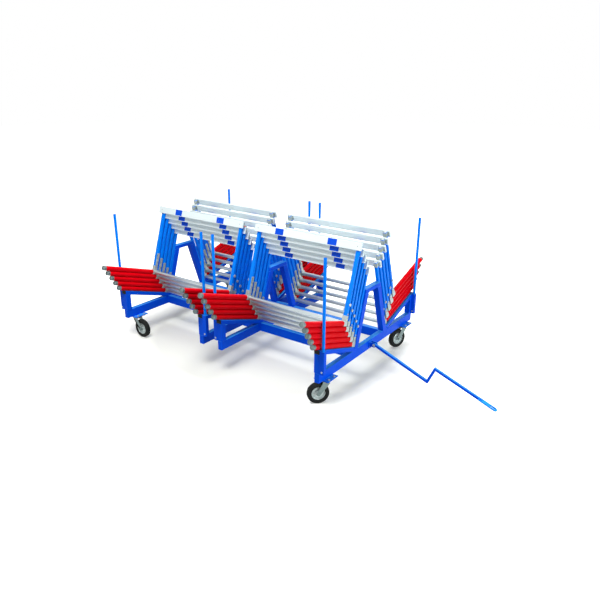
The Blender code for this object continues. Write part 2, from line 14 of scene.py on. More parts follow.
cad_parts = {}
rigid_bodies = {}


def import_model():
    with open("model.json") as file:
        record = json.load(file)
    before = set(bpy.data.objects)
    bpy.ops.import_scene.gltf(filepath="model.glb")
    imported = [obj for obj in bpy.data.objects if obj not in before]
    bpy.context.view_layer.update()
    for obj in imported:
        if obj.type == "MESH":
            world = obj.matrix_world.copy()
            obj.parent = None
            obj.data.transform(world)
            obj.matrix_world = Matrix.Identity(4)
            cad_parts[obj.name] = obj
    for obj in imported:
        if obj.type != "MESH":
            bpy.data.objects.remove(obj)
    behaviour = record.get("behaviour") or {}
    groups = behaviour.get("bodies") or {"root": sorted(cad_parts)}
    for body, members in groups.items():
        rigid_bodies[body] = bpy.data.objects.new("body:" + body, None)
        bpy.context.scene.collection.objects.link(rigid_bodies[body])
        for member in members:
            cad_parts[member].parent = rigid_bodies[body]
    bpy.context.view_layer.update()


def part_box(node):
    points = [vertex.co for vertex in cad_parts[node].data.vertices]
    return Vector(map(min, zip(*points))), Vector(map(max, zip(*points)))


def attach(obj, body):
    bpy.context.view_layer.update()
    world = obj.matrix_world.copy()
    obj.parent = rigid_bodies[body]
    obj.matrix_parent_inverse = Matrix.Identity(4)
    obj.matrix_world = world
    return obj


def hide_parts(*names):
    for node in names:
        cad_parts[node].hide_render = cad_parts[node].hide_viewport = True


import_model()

LOG = logging.getLogger("hurdle_cart")

Point = tuple[float, float, float]
Colour = tuple[float, float, float]
Flat = tuple[float, float]
EdgeTest = Callable[[bmesh.types.BMEdge], bool]

# How far the arms and the hurdles lean
LEAN = math.radians(18.0)
SIN, COS, TAN = math.sin(LEAN), math.cos(LEAN), math.tan(LEAN)

# The gap that is left between neighbouring pieces
GAP = 0.0003

# The cart's middle along X, halfway between its outer cross frames
CART_X = sum(corner.x for name in ("left", "right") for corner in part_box(f"cross_frame_{name}")) / 4

# The usual segments of a rounded edge, and the bend in radians from which a slab's edge is rounded
FLAT_STEPS = 2
SHARP = 0.45

# A painted sheen: the paler blue painted on the blue paint where it faces up, in place of the light that
# top faces reflect
PAINTED_SHEEN_BLUE = (0.10, 0.62, 0.92)


class Side(Enum):
    """Which side of the cart a piece stands on, as a factor on Y."""

    NEAR = -1
    FAR = 1

    @property
    def word(self) -> str:
        """The side's name as the nodes write it."""
        return self.name.lower()


class Slot(Enum):
    """The record's material slots."""

    BLUE = "blue_paint"
    STEEL = "zinc_steel"
    RUBBER = "caster_rubber"
    HURDLE = "hurdle_finish"


class Nodes:
    """Adds shader nodes to a tree and links them."""

    def __init__(self, tree: bpy.types.NodeTree) -> None:
        """Keeps the tree.

        Args:
            tree: the material's or the group's node tree.
        """
        self.tree = tree

    def add(self, kind: str, values: Optional[dict] = None, **settings: object) -> bpy.types.Node:
        """Adds a node.

        Args:
            kind: its type name, with or without the ShaderNode prefix.
            values: what its input sockets are set or linked to, by socket name or number.
            settings: its own properties.

        Returns:
            The new node.
        """
        node = self.tree.nodes.new(kind if kind.startswith("Node") else f"ShaderNode{kind}")
        for name, value in settings.items():
            setattr(node, name, value)
        for name, value in (values or {}).items():
            if isinstance(value, bpy.types.NodeSocket):
                self.tree.links.new(value, node.inputs[name])
            else:
                node.inputs[name].default_value = value
        return node

    def calc(self, operation: str, first: object, second: object = 0.0) -> bpy.types.NodeSocket:
        """One Math node's value, of two sockets or numbers."""
        return self.add("Math", {0: first, 1: second}, operation=operation).outputs[0]

    def spread(self, value: bpy.types.NodeSocket, low: float, high: float, start: float = 0.0,
               end: float = 1.0) -> bpy.types.NodeSocket:
        """Maps low to high onto start to end, clamped."""
        stops = {"Value": value, "From Min": low, "From Max": high, "To Min": start, "To Max": end}
        return self.add("MapRange", stops).outputs[0]

    def noise(self, where: bpy.types.NodeSocket, scale: object, detail: float,
              roughness: float = 0.5) -> bpy.types.NodeSocket:
        """One Noise Texture's value."""
        values = {"Vector": where, "Scale": scale, "Detail": detail, "Roughness": roughness}
        return self.add("TexNoise", values).outputs[0]

    def seen(self) -> bpy.types.NodeSocket:
        """1 for what the camera sees, directly, in a gloss or through glass, and 0 for light."""
        path = self.add("LightPath").outputs
        straight = self.calc("MAXIMUM", path["Is Camera Ray"], path["Is Glossy Ray"])
        return self.calc("MAXIMUM", straight, path["Is Transmission Ray"])

    def mix(self, share: object, first: object, second: object) -> bpy.types.NodeSocket:
        """A colour mixed from two, by a share from 0 to 1."""
        node = self.add("Mix", {0: share, 6: paint(first), 7: paint(second)}, data_type="RGBA")
        return node.outputs[2]


def paint(colour: object) -> object:
    """A plain colour with its alpha, or the socket as it is."""
    return (*colour, 1.0) if isinstance(colour, tuple) and len(colour) == 3 else colour


class Effects:
    """Shader node groups that several finishes use, each built once.

    Attributes:
        made: the groups by name.
    """

    made: dict[str, bpy.types.NodeTree] = {}

    @classmethod
    def start(cls, name: str, inputs: dict[str, object], outputs: Sequence[str]) -> Nodes:
        """Starts a group with its sockets.

        Args:
            name: the group's name.
            inputs: each input's default; a number, or None for a vector.
            outputs: the names of its value outputs.

        Returns:
            The group's tree, ready for nodes.
        """
        tree = bpy.data.node_groups.new(name, "ShaderNodeTree")
        for label, default in inputs.items():
            kind = "NodeSocketVector" if default is None else "NodeSocketFloat"
            socket = tree.interface.new_socket(label, in_out="INPUT", socket_type=kind)
            if default is not None:
                socket.default_value = default
        for label in outputs:
            tree.interface.new_socket(label, in_out="OUTPUT", socket_type="NodeSocketFloat")
        cls.made[name] = tree
        return Nodes(tree)

    @classmethod
    def build(cls) -> None:
        """Builds all the groups."""
        cls.build_skin()
        cls.build_scuffs()
        cls.build_dust()
        cls.build_lines()

    @classmethod
    def build_skin(cls) -> None:
        """Slow colour patches and a fine skin, such as orange peel on powder coat."""
        inputs = {"Vector": None, "Patch Scale": 3.0, "Skin Scale": 400.0}
        nodes = cls.start("skin", inputs, ["Patches", "Height"])
        source = nodes.add("NodeGroupInput").outputs
        patches = nodes.spread(nodes.noise(source[0], source[1], 3.0, 0.6), 0.3, 0.7)
        skin = nodes.noise(source[0], source[2], 2.0)
        nodes.add("NodeGroupOutput", {"Patches": patches, "Height": skin}, is_active_output=True)

    @classmethod
    def build_scuffs(cls) -> None:
        """Short scratches in two directions, gathered in patches."""
        nodes = cls.start("scuffs", {"Vector": None, "Scale": 60.0, "Cover": 0.1}, ["Mask"])
        source = nodes.add("NodeGroupInput").outputs
        strokes = []
        for turn, stretch in ((0.5, (0.06, 1.0, 1.0)), (2.2, (1.0, 1.0, 0.08))):
            laid = {"Vector": source[0], "Rotation": (turn, turn * 0.6, turn), "Scale": stretch}
            noise = nodes.noise(nodes.add("Mapping", laid).outputs[0], source[1], 1.0)
            strokes.append(nodes.spread(noise, 0.66, 0.72))
        either = nodes.calc("MAXIMUM", *strokes)
        area = nodes.spread(nodes.calc("ADD", nodes.noise(source[0], 5.0, 2.0), source[2]), 0.62, 0.72)
        mask = nodes.calc("MULTIPLY", either, area)
        nodes.add("NodeGroupOutput", {"Mask": mask}, is_active_output=True)

    @classmethod
    def build_dust(cls) -> None:
        """A mask on what faces up, uneven in patches: real dust on rubber, and a painted sheen that stands
        in for reflected light on the paints and the zinc.
        """
        nodes = cls.start("dust", {"Vector": None, "Amount": 0.2}, ["Mask"])
        source = nodes.add("NodeGroupInput").outputs
        facing = nodes.add("SeparateXYZ", {0: nodes.add("NewGeometry").outputs["Normal"]}).outputs[2]
        uneven = nodes.spread(nodes.noise(source[0], 14.0, 4.0, 0.7), 0.3, 0.7, 0.6)
        lying = nodes.calc("MULTIPLY", nodes.spread(facing, 0.2, 0.95), uneven)
        mask = nodes.calc("MULTIPLY", lying, source[1])
        nodes.add("NodeGroupOutput", {"Mask": mask}, is_active_output=True)

    @classmethod
    def build_lines(cls) -> None:
        """Fine lines that a die or a brush leaves along X."""
        nodes = cls.start("drawn_lines", {"Vector": None, "Scale": 500.0}, ["Lines"])
        source = nodes.add("NodeGroupInput").outputs
        stretched = nodes.add("Mapping", {"Vector": source[0], "Scale": (0.01, 1.0, 1.0)})
        lines = nodes.spread(nodes.noise(stretched.outputs[0], source[1], 2.0), 0.3, 0.7)
        nodes.add("NodeGroupOutput", {"Lines": lines}, is_active_output=True)


@dataclass(frozen=True)
class Finish:
    """A painted, plated or moulded surface.

    Attributes:
        name: the material's name.
        colour: its colour, linear.
        patch: the colour that slow patches lean to.
        roughness: the least roughness.
        rougher: what the patches add to it.
        metallic: 1 for bare metal.
        shine: the specular level.
        patch_scale: how many patches to a metre.
        skin_scale: how fine the skin is.
        skin_depth: how deep the skin is, in metres.
        scuff_cover: how much of the surface is scratched.
        scuff: the colour of the scratches.
        dust: how much colour is painted where it faces up: real dust on rubber, and on the blue paints and
            the zinc a painted sheen that stands in for reflected light.
        dusted: the colour of the dust on rubber, and of the painted sheen elsewhere.
        lines: how deep drawn lines are, in metres.
    """

    name: str
    colour: Colour
    patch: Colour
    roughness: float = 0.4
    rougher: float = 0.15
    metallic: float = 0.0
    shine: float = 0.5
    patch_scale: float = 3.0
    skin_scale: float = 400.0
    skin_depth: float = 0.0001
    scuff_cover: float = 0.0
    scuff: Colour = (0.5, 0.5, 0.5)
    dust: float = 0.0
    dusted: Colour = (0.42, 0.40, 0.37)
    lines: float = 0.0

    def build(self) -> bpy.types.Material:
        """Builds the material.

        Returns:
            The finished material.
        """
        material = bpy.data.materials.new(self.name)
        material.use_nodes = True
        nodes = Nodes(material.node_tree)
        where = nodes.add("TexCoord").outputs["Object"]
        scales = {"Patch Scale": self.patch_scale, "Skin Scale": self.skin_scale}
        skin = self.effect(nodes, "skin", where, scales)
        scuffs = self.effect(nodes, "scuffs", where, {"Cover": self.scuff_cover})
        # Painted sheen: what faces up is painted a paler colour, which stands in for reflected light on
        # paint and zinc and is real dust on rubber
        dust = self.effect(nodes, "dust", where, {"Amount": self.dust})
        colour = nodes.mix(skin.outputs["Patches"], self.colour, self.patch)
        colour = nodes.mix(scuffs.outputs[0], colour, self.scuff)
        colour = nodes.mix(dust.outputs[0], colour, self.dusted)
        height, depth = skin.outputs["Height"], self.skin_depth
        if self.lines:
            drawn = self.effect(nodes, "drawn_lines", where, {}).outputs[0]
            height, depth = nodes.calc("ADD", height, drawn), self.lines
        rough = nodes.calc("MULTIPLY", skin.outputs["Patches"], self.rougher)
        rough = nodes.calc("ADD", rough, nodes.calc("MULTIPLY", dust.outputs[0], 0.4))
        rough = nodes.calc("ADD", rough, self.roughness)
        shader = material.node_tree.nodes["Principled BSDF"]
        links = material.node_tree.links
        bump = nodes.add("Bump", {"Height": height, "Distance": depth, "Strength": 0.6})
        links.new(self.decorate(nodes, where, colour), shader.inputs["Base Color"])
        links.new(rough, shader.inputs["Roughness"])
        links.new(bump.outputs[0], shader.inputs["Normal"])
        shader.inputs["Metallic"].default_value = self.metallic
        shader.inputs["Specular IOR Level"].default_value = self.shine
        return material

    def effect(self, nodes: Nodes, name: str, where: bpy.types.NodeSocket, values: dict) -> bpy.types.Node:
        """Places one of the shared groups.

        Args:
            nodes: the material's nodes.
            name: the group's name.
            where: the coordinates it reads.
            values: its other inputs.

        Returns:
            The group node.
        """
        node = nodes.add("Group", node_tree=Effects.made[name])
        nodes.tree.links.new(where, node.inputs["Vector"])
        for label, value in values.items():
            node.inputs[label].default_value = value
        return node

    def decorate(self, nodes: Nodes, where: bpy.types.NodeSocket,
                 colour: bpy.types.NodeSocket) -> bpy.types.NodeSocket:
        """A finish without a pattern of its own keeps its colour."""
        return colour


@dataclass(frozen=True)
class RubberFinish(Finish):
    """Tyre rubber, greyed in patches.

    Attributes:
        bloom: the grey.
    """

    bloom: Colour = (0.016, 0.017, 0.017)

    def decorate(self, nodes: Nodes, where: bpy.types.NodeSocket,
                 colour: bpy.types.NodeSocket) -> bpy.types.NodeSocket:
        """Adds the grey bloom.

        Args:
            nodes: the material's nodes.
            where: Object coordinates.
            colour: the colour so far.

        Returns:
            The colour with the bloom.
        """
        share = nodes.spread(nodes.noise(where, 45.0, 5.0, 0.7), 0.45, 0.8, 0.0, 0.8)
        return nodes.mix(share, colour, self.bloom)


@dataclass(frozen=True)
class PlatedFinish(Finish):
    """Zinc plate, with the small crystals that it sets in.

    Attributes:
        spangle: the colour that the crystals lean to.
        spangle_scale: how many there are to a metre.
    """

    spangle: Colour = (0.62, 0.66, 0.66)
    spangle_scale: float = 260.0

    def decorate(self, nodes: Nodes, where: bpy.types.NodeSocket,
                 colour: bpy.types.NodeSocket) -> bpy.types.NodeSocket:
        """Adds the crystals.

        Args:
            nodes: the material's nodes.
            where: Object coordinates.
            colour: the colour so far.

        Returns:
            The colour with the crystals.
        """
        cells = nodes.add("TexVoronoi", {"Vector": where, "Scale": self.spangle_scale})
        tone = nodes.add("SeparateXYZ", {0: cells.outputs["Color"]}).outputs[0]
        return nodes.mix(nodes.calc("MULTIPLY", tone, 0.45), colour, self.spangle)


class Finishes:
    """Every finish of the cart, built once."""

    def __init__(self) -> None:
        """Builds the materials."""
        Effects.build()
        # Both blues carry a painted sheen: their up-facing faces are painted a paler blue in place of
        # reflected sky light
        self.frame_blue = Finish(
            "frame_blue", (0.0, 0.086, 0.78), (0.0, 0.072, 0.72), 0.34, 0.10, shine=0.05,
            skin_depth=0.00015, scuff=(0.02, 0.19, 0.82), dust=0.45, dusted=PAINTED_SHEEN_BLUE).build()
        self.tube_blue = Finish(
            "tube_blue", (0.0, 0.23, 1.0), (0.0, 0.20, 0.94), 0.32, 0.10, shine=0.05,
            skin_depth=0.00012, scuff=(0.03, 0.27, 0.88), dust=0.3, dusted=PAINTED_SHEEN_BLUE).build()
        self.panel_blue = Finish(
            "panel_blue", (0.0, 0.08, 0.72), (0.0, 0.06, 0.62), 0.34, 0.10, shine=0.15,
            skin_scale=900.0, skin_depth=0.00003, scuff_cover=-0.02).build()
        self.board_white = Finish(
            "board_white", (0.79, 0.88, 0.90), (0.76, 0.855, 0.88), 0.40, 0.12, shine=0.3,
            patch_scale=2.0, skin_scale=700.0, skin_depth=0.00005, scuff=(0.70, 0.72, 0.74)).build()
        self.sleeve_red = Finish(
            "sleeve_red", (0.80, 0.0, 0.006), (0.70, 0.0, 0.005), 0.34, 0.14, shine=0.05,
            skin_scale=600.0, skin_depth=0.00008, scuff=(0.76, 0.03, 0.035)).build()
        self.drawn_alloy = Finish(
            "drawn_alloy", (0.52, 0.58, 0.60), (0.45, 0.51, 0.53), 0.27, 0.08, metallic=0.80,
            skin_scale=900.0, skin_depth=0.00004, scuff=(0.42, 0.46, 0.48), lines=0.00005).build()
        # Both zinc finishes carry a painted highlight: their up-facing faces are painted paler in place of
        # reflected light
        self.bright_zinc = PlatedFinish(
            "bright_zinc", (0.42, 0.48, 0.48), (0.24, 0.29, 0.29), 0.34, 0.16, metallic=0.5,
            skin_depth=0.00005, scuff=(0.35, 0.36, 0.36), dust=0.3, dusted=(0.80, 0.85, 0.85),
            spangle=(0.52, 0.57, 0.57)).build()
        self.dull_zinc = PlatedFinish(
            "dull_zinc", (0.16, 0.21, 0.21), (0.10, 0.14, 0.14), 0.36, 0.20, metallic=0.6,
            skin_depth=0.00008, scuff_cover=0.03, scuff=(0.12, 0.13, 0.12), dust=0.2,
            dusted=(0.45, 0.50, 0.50), spangle=(0.26, 0.31, 0.31)).build()
        self.rubber = RubberFinish(
            "caster_rubber", (0.006, 0.007, 0.007), (0.010, 0.011, 0.011), 0.58, 0.2, shine=0.12,
            skin_scale=500.0, skin_depth=0.0002, scuff_cover=-0.05, dust=0.02).build()
        # Black plastic for the real plugs, also used on the scales' discs as painted shade for holes
        self.black_plastic = Finish(
            "black_plastic", (0.005, 0.006, 0.006), (0.009, 0.010, 0.010), 0.45, 0.15, shine=0.10,
            skin_scale=900.0, skin_depth=0.00008, scuff_cover=-0.05, scuff=(0.04, 0.04, 0.04)).build()


class Piece:
    """One object, modelled part by part in edit mode where it belongs."""

    def __init__(self, name: str) -> None:
        """Starts an empty object and enters its edit mode.

        Args:
            name: the piece's name.
        """
        bpy.ops.object.select_all(action="DESELECT")
        self.obj = bpy.data.objects.new(name, bpy.data.meshes.new(name))
        bpy.context.scene.collection.objects.link(self.obj)
        bpy.context.view_layer.objects.active = self.obj
        self.obj.select_set(True)
        bpy.ops.object.mode_set(mode="EDIT")

    def mesh(self) -> bmesh.types.BMesh:
        """The mesh in edit mode."""
        return bmesh.from_edit_mesh(self.obj.data)

    def show(self) -> None:
        """Takes the selection that was made in code into the mesh."""
        bmesh.update_edit_mesh(self.obj.data)

    def pick_edges(self, test: EdgeTest) -> int:
        """Selects only the selected part's edges that pass a test.

        Args:
            test: a function of one edge that says whether to keep it.

        Returns:
            How many edges are selected.
        """
        mesh = self.mesh()
        kept = [edge for edge in mesh.edges if edge.select and test(edge)]
        for item in (*mesh.faces, *mesh.edges, *mesh.verts):
            item.select = False
        for edge in kept:
            edge.select_set(True)
        self.show()
        return len(kept)

    def round_edges(self, width: float, steps: int, test: EdgeTest) -> None:
        """Bevels the selected part's edges that pass a test.

        Args:
            width: the bevel's width.
            steps: how many segments it has.
            test: a function of one edge.
        """
        bpy.ops.mesh.select_mode(type="EDGE")
        if self.pick_edges(test):
            bpy.ops.mesh.bevel(offset=width, offset_type="OFFSET", segments=steps, affect="EDGES")
        bpy.ops.mesh.select_mode(type="VERT")
        bpy.ops.mesh.select_all(action="DESELECT")

    def box(self, corner: Point, other: Point, bevel: float = 0.001, steps: int = FLAT_STEPS) -> "Piece":
        """Adds a block with rounded edges.

        Args:
            corner: one of its corners.
            other: the corner across from it.
            bevel: how far its edges are rounded.
            steps: how many segments an edge is rounded in.

        Returns:
            The piece.
        """
        corner, other = Vector(corner), Vector(other)
        size = [abs(value) for value in other - corner]
        bpy.ops.mesh.select_all(action="DESELECT")
        bpy.ops.mesh.primitive_cube_add(size=1.0, location=(corner + other) / 2, scale=size)
        self.round_edges(bevel, steps, lambda edge: True)
        return self

    def rod(self, start: Point, end: Point, radius: float, bevel: float = 0.001, sides: int = 24,
            wall: float = 0.0, depth: float = 0.02) -> "Piece":
        """Adds a round or many-sided bar with eased ends, open at its end if it has a wall.

        Args:
            start: the middle of its first end.
            end: the middle of its other end.
            radius: its radius over the corners.
            bevel: how far its ends are eased.
            sides: how many sides it has.
            wall: a tube's wall, or 0 for a bar.
            depth: how far the bore goes in.

        Returns:
            The piece.
        """
        start, end = Vector(start), Vector(end)
        run = end - start
        turn = run.to_track_quat("Z", "Y").to_euler()
        bpy.ops.mesh.select_all(action="DESELECT")
        bpy.ops.mesh.primitive_cylinder_add(vertices=sides, radius=radius, depth=run.length,
                                            location=(start + end) / 2, rotation=turn)
        if wall:
            self.open_end(run.normalized(), radius * (1 - math.cos(math.pi / sides)) + wall, depth)

        def at_end(edge: bmesh.types.BMEdge) -> bool:
            """Whether an edge runs round an end."""
            return any(len(face.verts) == sides for face in edge.link_faces)

        if bevel:
            self.round_edges(bevel, FLAT_STEPS, at_end)
        return self

    def open_end(self, facing: Vector, wall: float, depth: float) -> None:
        """Sinks a bore into the selected part's end that faces one way.

        Args:
            facing: the way the end faces.
            wall: the wall that is left round the bore.
            depth: how deep the bore is.
        """
        bpy.ops.mesh.select_mode(type="FACE")
        mesh = self.mesh()
        ends = [face for face in mesh.faces if face.select and face.normal.dot(facing) > 0.99]
        for face in mesh.faces:
            face.select_set(False)
        for face in ends:
            face.select_set(True)
        self.show()
        bpy.ops.mesh.inset(thickness=wall)
        bpy.ops.mesh.extrude_region_move(TRANSFORM_OT_translate={"value": -facing * depth})
        bpy.ops.mesh.select_linked()
        bpy.ops.mesh.select_mode(type="VERT")

    def slab(self, outline: Sequence[Flat], matrix: Matrix, thickness: float, bevel: float = 0.001,
             steps: int = FLAT_STEPS) -> "Piece":
        """Adds a flat outline with a thickness and rounded edges.

        Args:
            outline: its corners in order.
            matrix: stands the outline's XY plane up where it belongs; the thickness is half on each side.
            thickness: the slab's thickness.
            bevel: how far its edges are rounded.
            steps: how many segments an edge is rounded in.

        Returns:
            The piece.
        """
        bpy.ops.mesh.select_all(action="DESELECT")
        bpy.ops.mesh.primitive_circle_add(vertices=len(outline), radius=1.0, fill_type="NGON")
        normal = (matrix.to_3x3() @ Vector((0, 0, 1))).normalized()
        corners = [vert for vert in self.mesh().verts if vert.select]
        for vert, (x, y) in zip(corners, outline):
            vert.co = matrix @ Vector((x, y, -thickness / 2))
        self.show()
        bpy.ops.mesh.extrude_region_move(TRANSFORM_OT_translate={"value": normal * thickness})
        bpy.ops.mesh.select_linked()
        bpy.ops.mesh.normals_make_consistent(inside=False)
        if bevel:
            self.round_edges(bevel, steps, lambda edge: edge.calc_face_angle(0.0) > SHARP)
        return self

    def lathe(self, profile: Sequence[Flat], start: Point, axis: Point, steps: int = 48) -> "Piece":
        """Turns a closed profile about an axis.

        Args:
            profile: (radius, along) points in order.
            start: where along is 0 on the axis.
            axis: the way along runs.
            steps: how many steps the turn has.

        Returns:
            The piece.
        """
        line = Vector(axis).normalized()
        out = line.orthogonal().normalized()
        bpy.ops.mesh.select_all(action="DESELECT")
        bpy.ops.mesh.primitive_circle_add(vertices=len(profile), radius=1.0, fill_type="NOTHING")
        corners = [vert for vert in self.mesh().verts if vert.select]
        for vert, (radius, height) in zip(corners, profile):
            vert.co = Vector(start) + out * radius + line * height
        self.show()
        bpy.ops.mesh.spin(steps=steps, angle=math.tau, center=start, axis=line, use_auto_merge=True)
        bpy.ops.mesh.select_linked()
        bpy.ops.mesh.remove_doubles(threshold=1e-6)
        bpy.ops.mesh.normals_make_consistent(inside=False)
        bpy.ops.mesh.select_all(action="DESELECT")
        return self

    def hex_bolt(self, seat: Point, axis: Point, radius: float, height: float) -> "Piece":
        """Adds a hex head on a washer.

        Args:
            seat: the middle of the washer's seat.
            axis: the way the head stands.
            radius: the head's radius over its corners.
            height: the head's height.

        Returns:
            The piece.
        """
        seat, axis = Vector(seat), Vector(axis).normalized()
        washer = height * 0.25
        self.rod(seat, seat + axis * washer, radius * 1.25, washer * 0.3, 20)
        self.rod(seat + axis * washer * 0.9, seat + axis * height, radius, height * 0.12, 6)
        return self

    def bead(self, points: Sequence[Point], radius: float = 0.0028) -> "Piece":
        """Adds a weld bead along a line of points.

        Args:
            points: the line's points in order.
            radius: the bead's radius.

        Returns:
            The piece.
        """
        for start, end in zip(points, points[1:]):
            self.rod(start, end, radius, radius * 0.4, 8)
        return self

    def cut(self, tool: bpy.types.Object) -> "Piece":
        """Cuts a tool out of what is modelled so far and removes the tool.

        Args:
            tool: a finished object, made before this piece was started.

        Returns:
            The piece.
        """
        bpy.ops.object.mode_set(mode="OBJECT")
        step = self.obj.modifiers.new("cut", "BOOLEAN")
        step.operation = "DIFFERENCE"
        step.solver = "EXACT"
        step.object = tool
        bpy.ops.object.modifier_apply(modifier=step.name)
        bpy.data.objects.remove(tool, do_unlink=True)
        bpy.ops.object.mode_set(mode="EDIT")
        return self

    def finish(self, angle: float = 35.0) -> bpy.types.Object:
        """Leaves edit mode and shades the piece.

        Args:
            angle: edges sharper than this many degrees stay sharp.

        Returns:
            The finished object.
        """
        bpy.ops.object.mode_set(mode="OBJECT")
        bpy.ops.object.shade_smooth_by_angle(angle=math.radians(angle))
        step = self.obj.modifiers.new("even_shading", "WEIGHTED_NORMAL")
        step.keep_sharp = True
        bpy.ops.object.modifier_apply(modifier=step.name)
        return self.obj


def copy_of(model: bpy.types.Object, name: str, place: Matrix) -> bpy.types.Object:
    """A copy with its own mesh, its place taken into the mesh.

    Args:
        model: the object that is copied.
        name: the copy's name.
        place: where it goes.

    Returns:
        The copy.
    """
    obj = model.copy()
    obj.data = model.data.copy()
    obj.name = obj.data.name = name
    bpy.context.scene.collection.objects.link(obj)
    bpy.ops.object.select_all(action="DESELECT")
    bpy.context.view_layer.objects.active = obj
    obj.select_set(True)
    obj.matrix_world = place
    bpy.ops.object.transform_apply(location=True, rotation=True, scale=True)
    return obj


def remove(models: Sequence[bpy.types.Object]) -> None:
    """Removes the models that only copies were made from."""
    for obj in models:
        bpy.data.objects.remove(obj, do_unlink=True)


def dress(obj: bpy.types.Object, material: bpy.types.Material, slot: Slot, body: str, *nodes: str) -> None:
    """Gives a piece its finish and its body, and hides the CAD nodes that it stands for.

    Args:
        obj: the piece.
        material: its finish.
        slot: the record's slot that the finish belongs to; not used.
        body: the CAD body that it rides on.
        nodes: the CAD nodes that it replaces.
    """
    obj.data.materials.clear()
    obj.data.materials.append(material)
    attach(obj, body)
    if nodes:
        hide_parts(*nodes)
    LOG.info("%s: %d faces on %s", obj.name, len(obj.data.polygons), body)


def arc(centre: Flat, radius: float, start: float, end: float, steps: int) -> list[Flat]:
    """Points along an arc, angles in degrees."""
    angles = [math.radians(start + (end - start) * k / steps) for k in range(steps + 1)]
    return [(centre[0] + radius * math.cos(a), centre[1] + radius * math.sin(a)) for a in angles]


def rounded(centre: Flat, reach: Flat, radius: float) -> list[Flat]:
    """A rectangle's outline with rounded corners.

    Args:
        centre: its middle.
        reach: how far the middles of its corners' arcs are from there.
        radius: its corners' radius.

    Returns:
        The outline.
    """
    outline = []
    for quarter, (x, y) in enumerate(((1, 1), (-1, 1), (-1, -1), (1, -1))):
        spot = (centre[0] + x * reach[0], centre[1] + y * reach[1])
        outline += arc(spot, radius, 90 * quarter, 90 * quarter + 90, 4)
    return outline


def across(x: float) -> Matrix:
    """Stands a (y, z) outline up across the cart at x."""
    return Matrix(((0, 0, 1, x), (1, 0, 0, 0), (0, 1, 0, 0), (0, 0, 0, 1)))


def along(y: float, x: float = 0.0, z: float = 0.0) -> Matrix:
    """Stands an (x, z) outline up along the cart at y, its origin at x and z."""
    return Matrix(((1, 0, 0, x), (0, 0, -1, y), (0, 1, 0, z), (0, 0, 0, 1)))


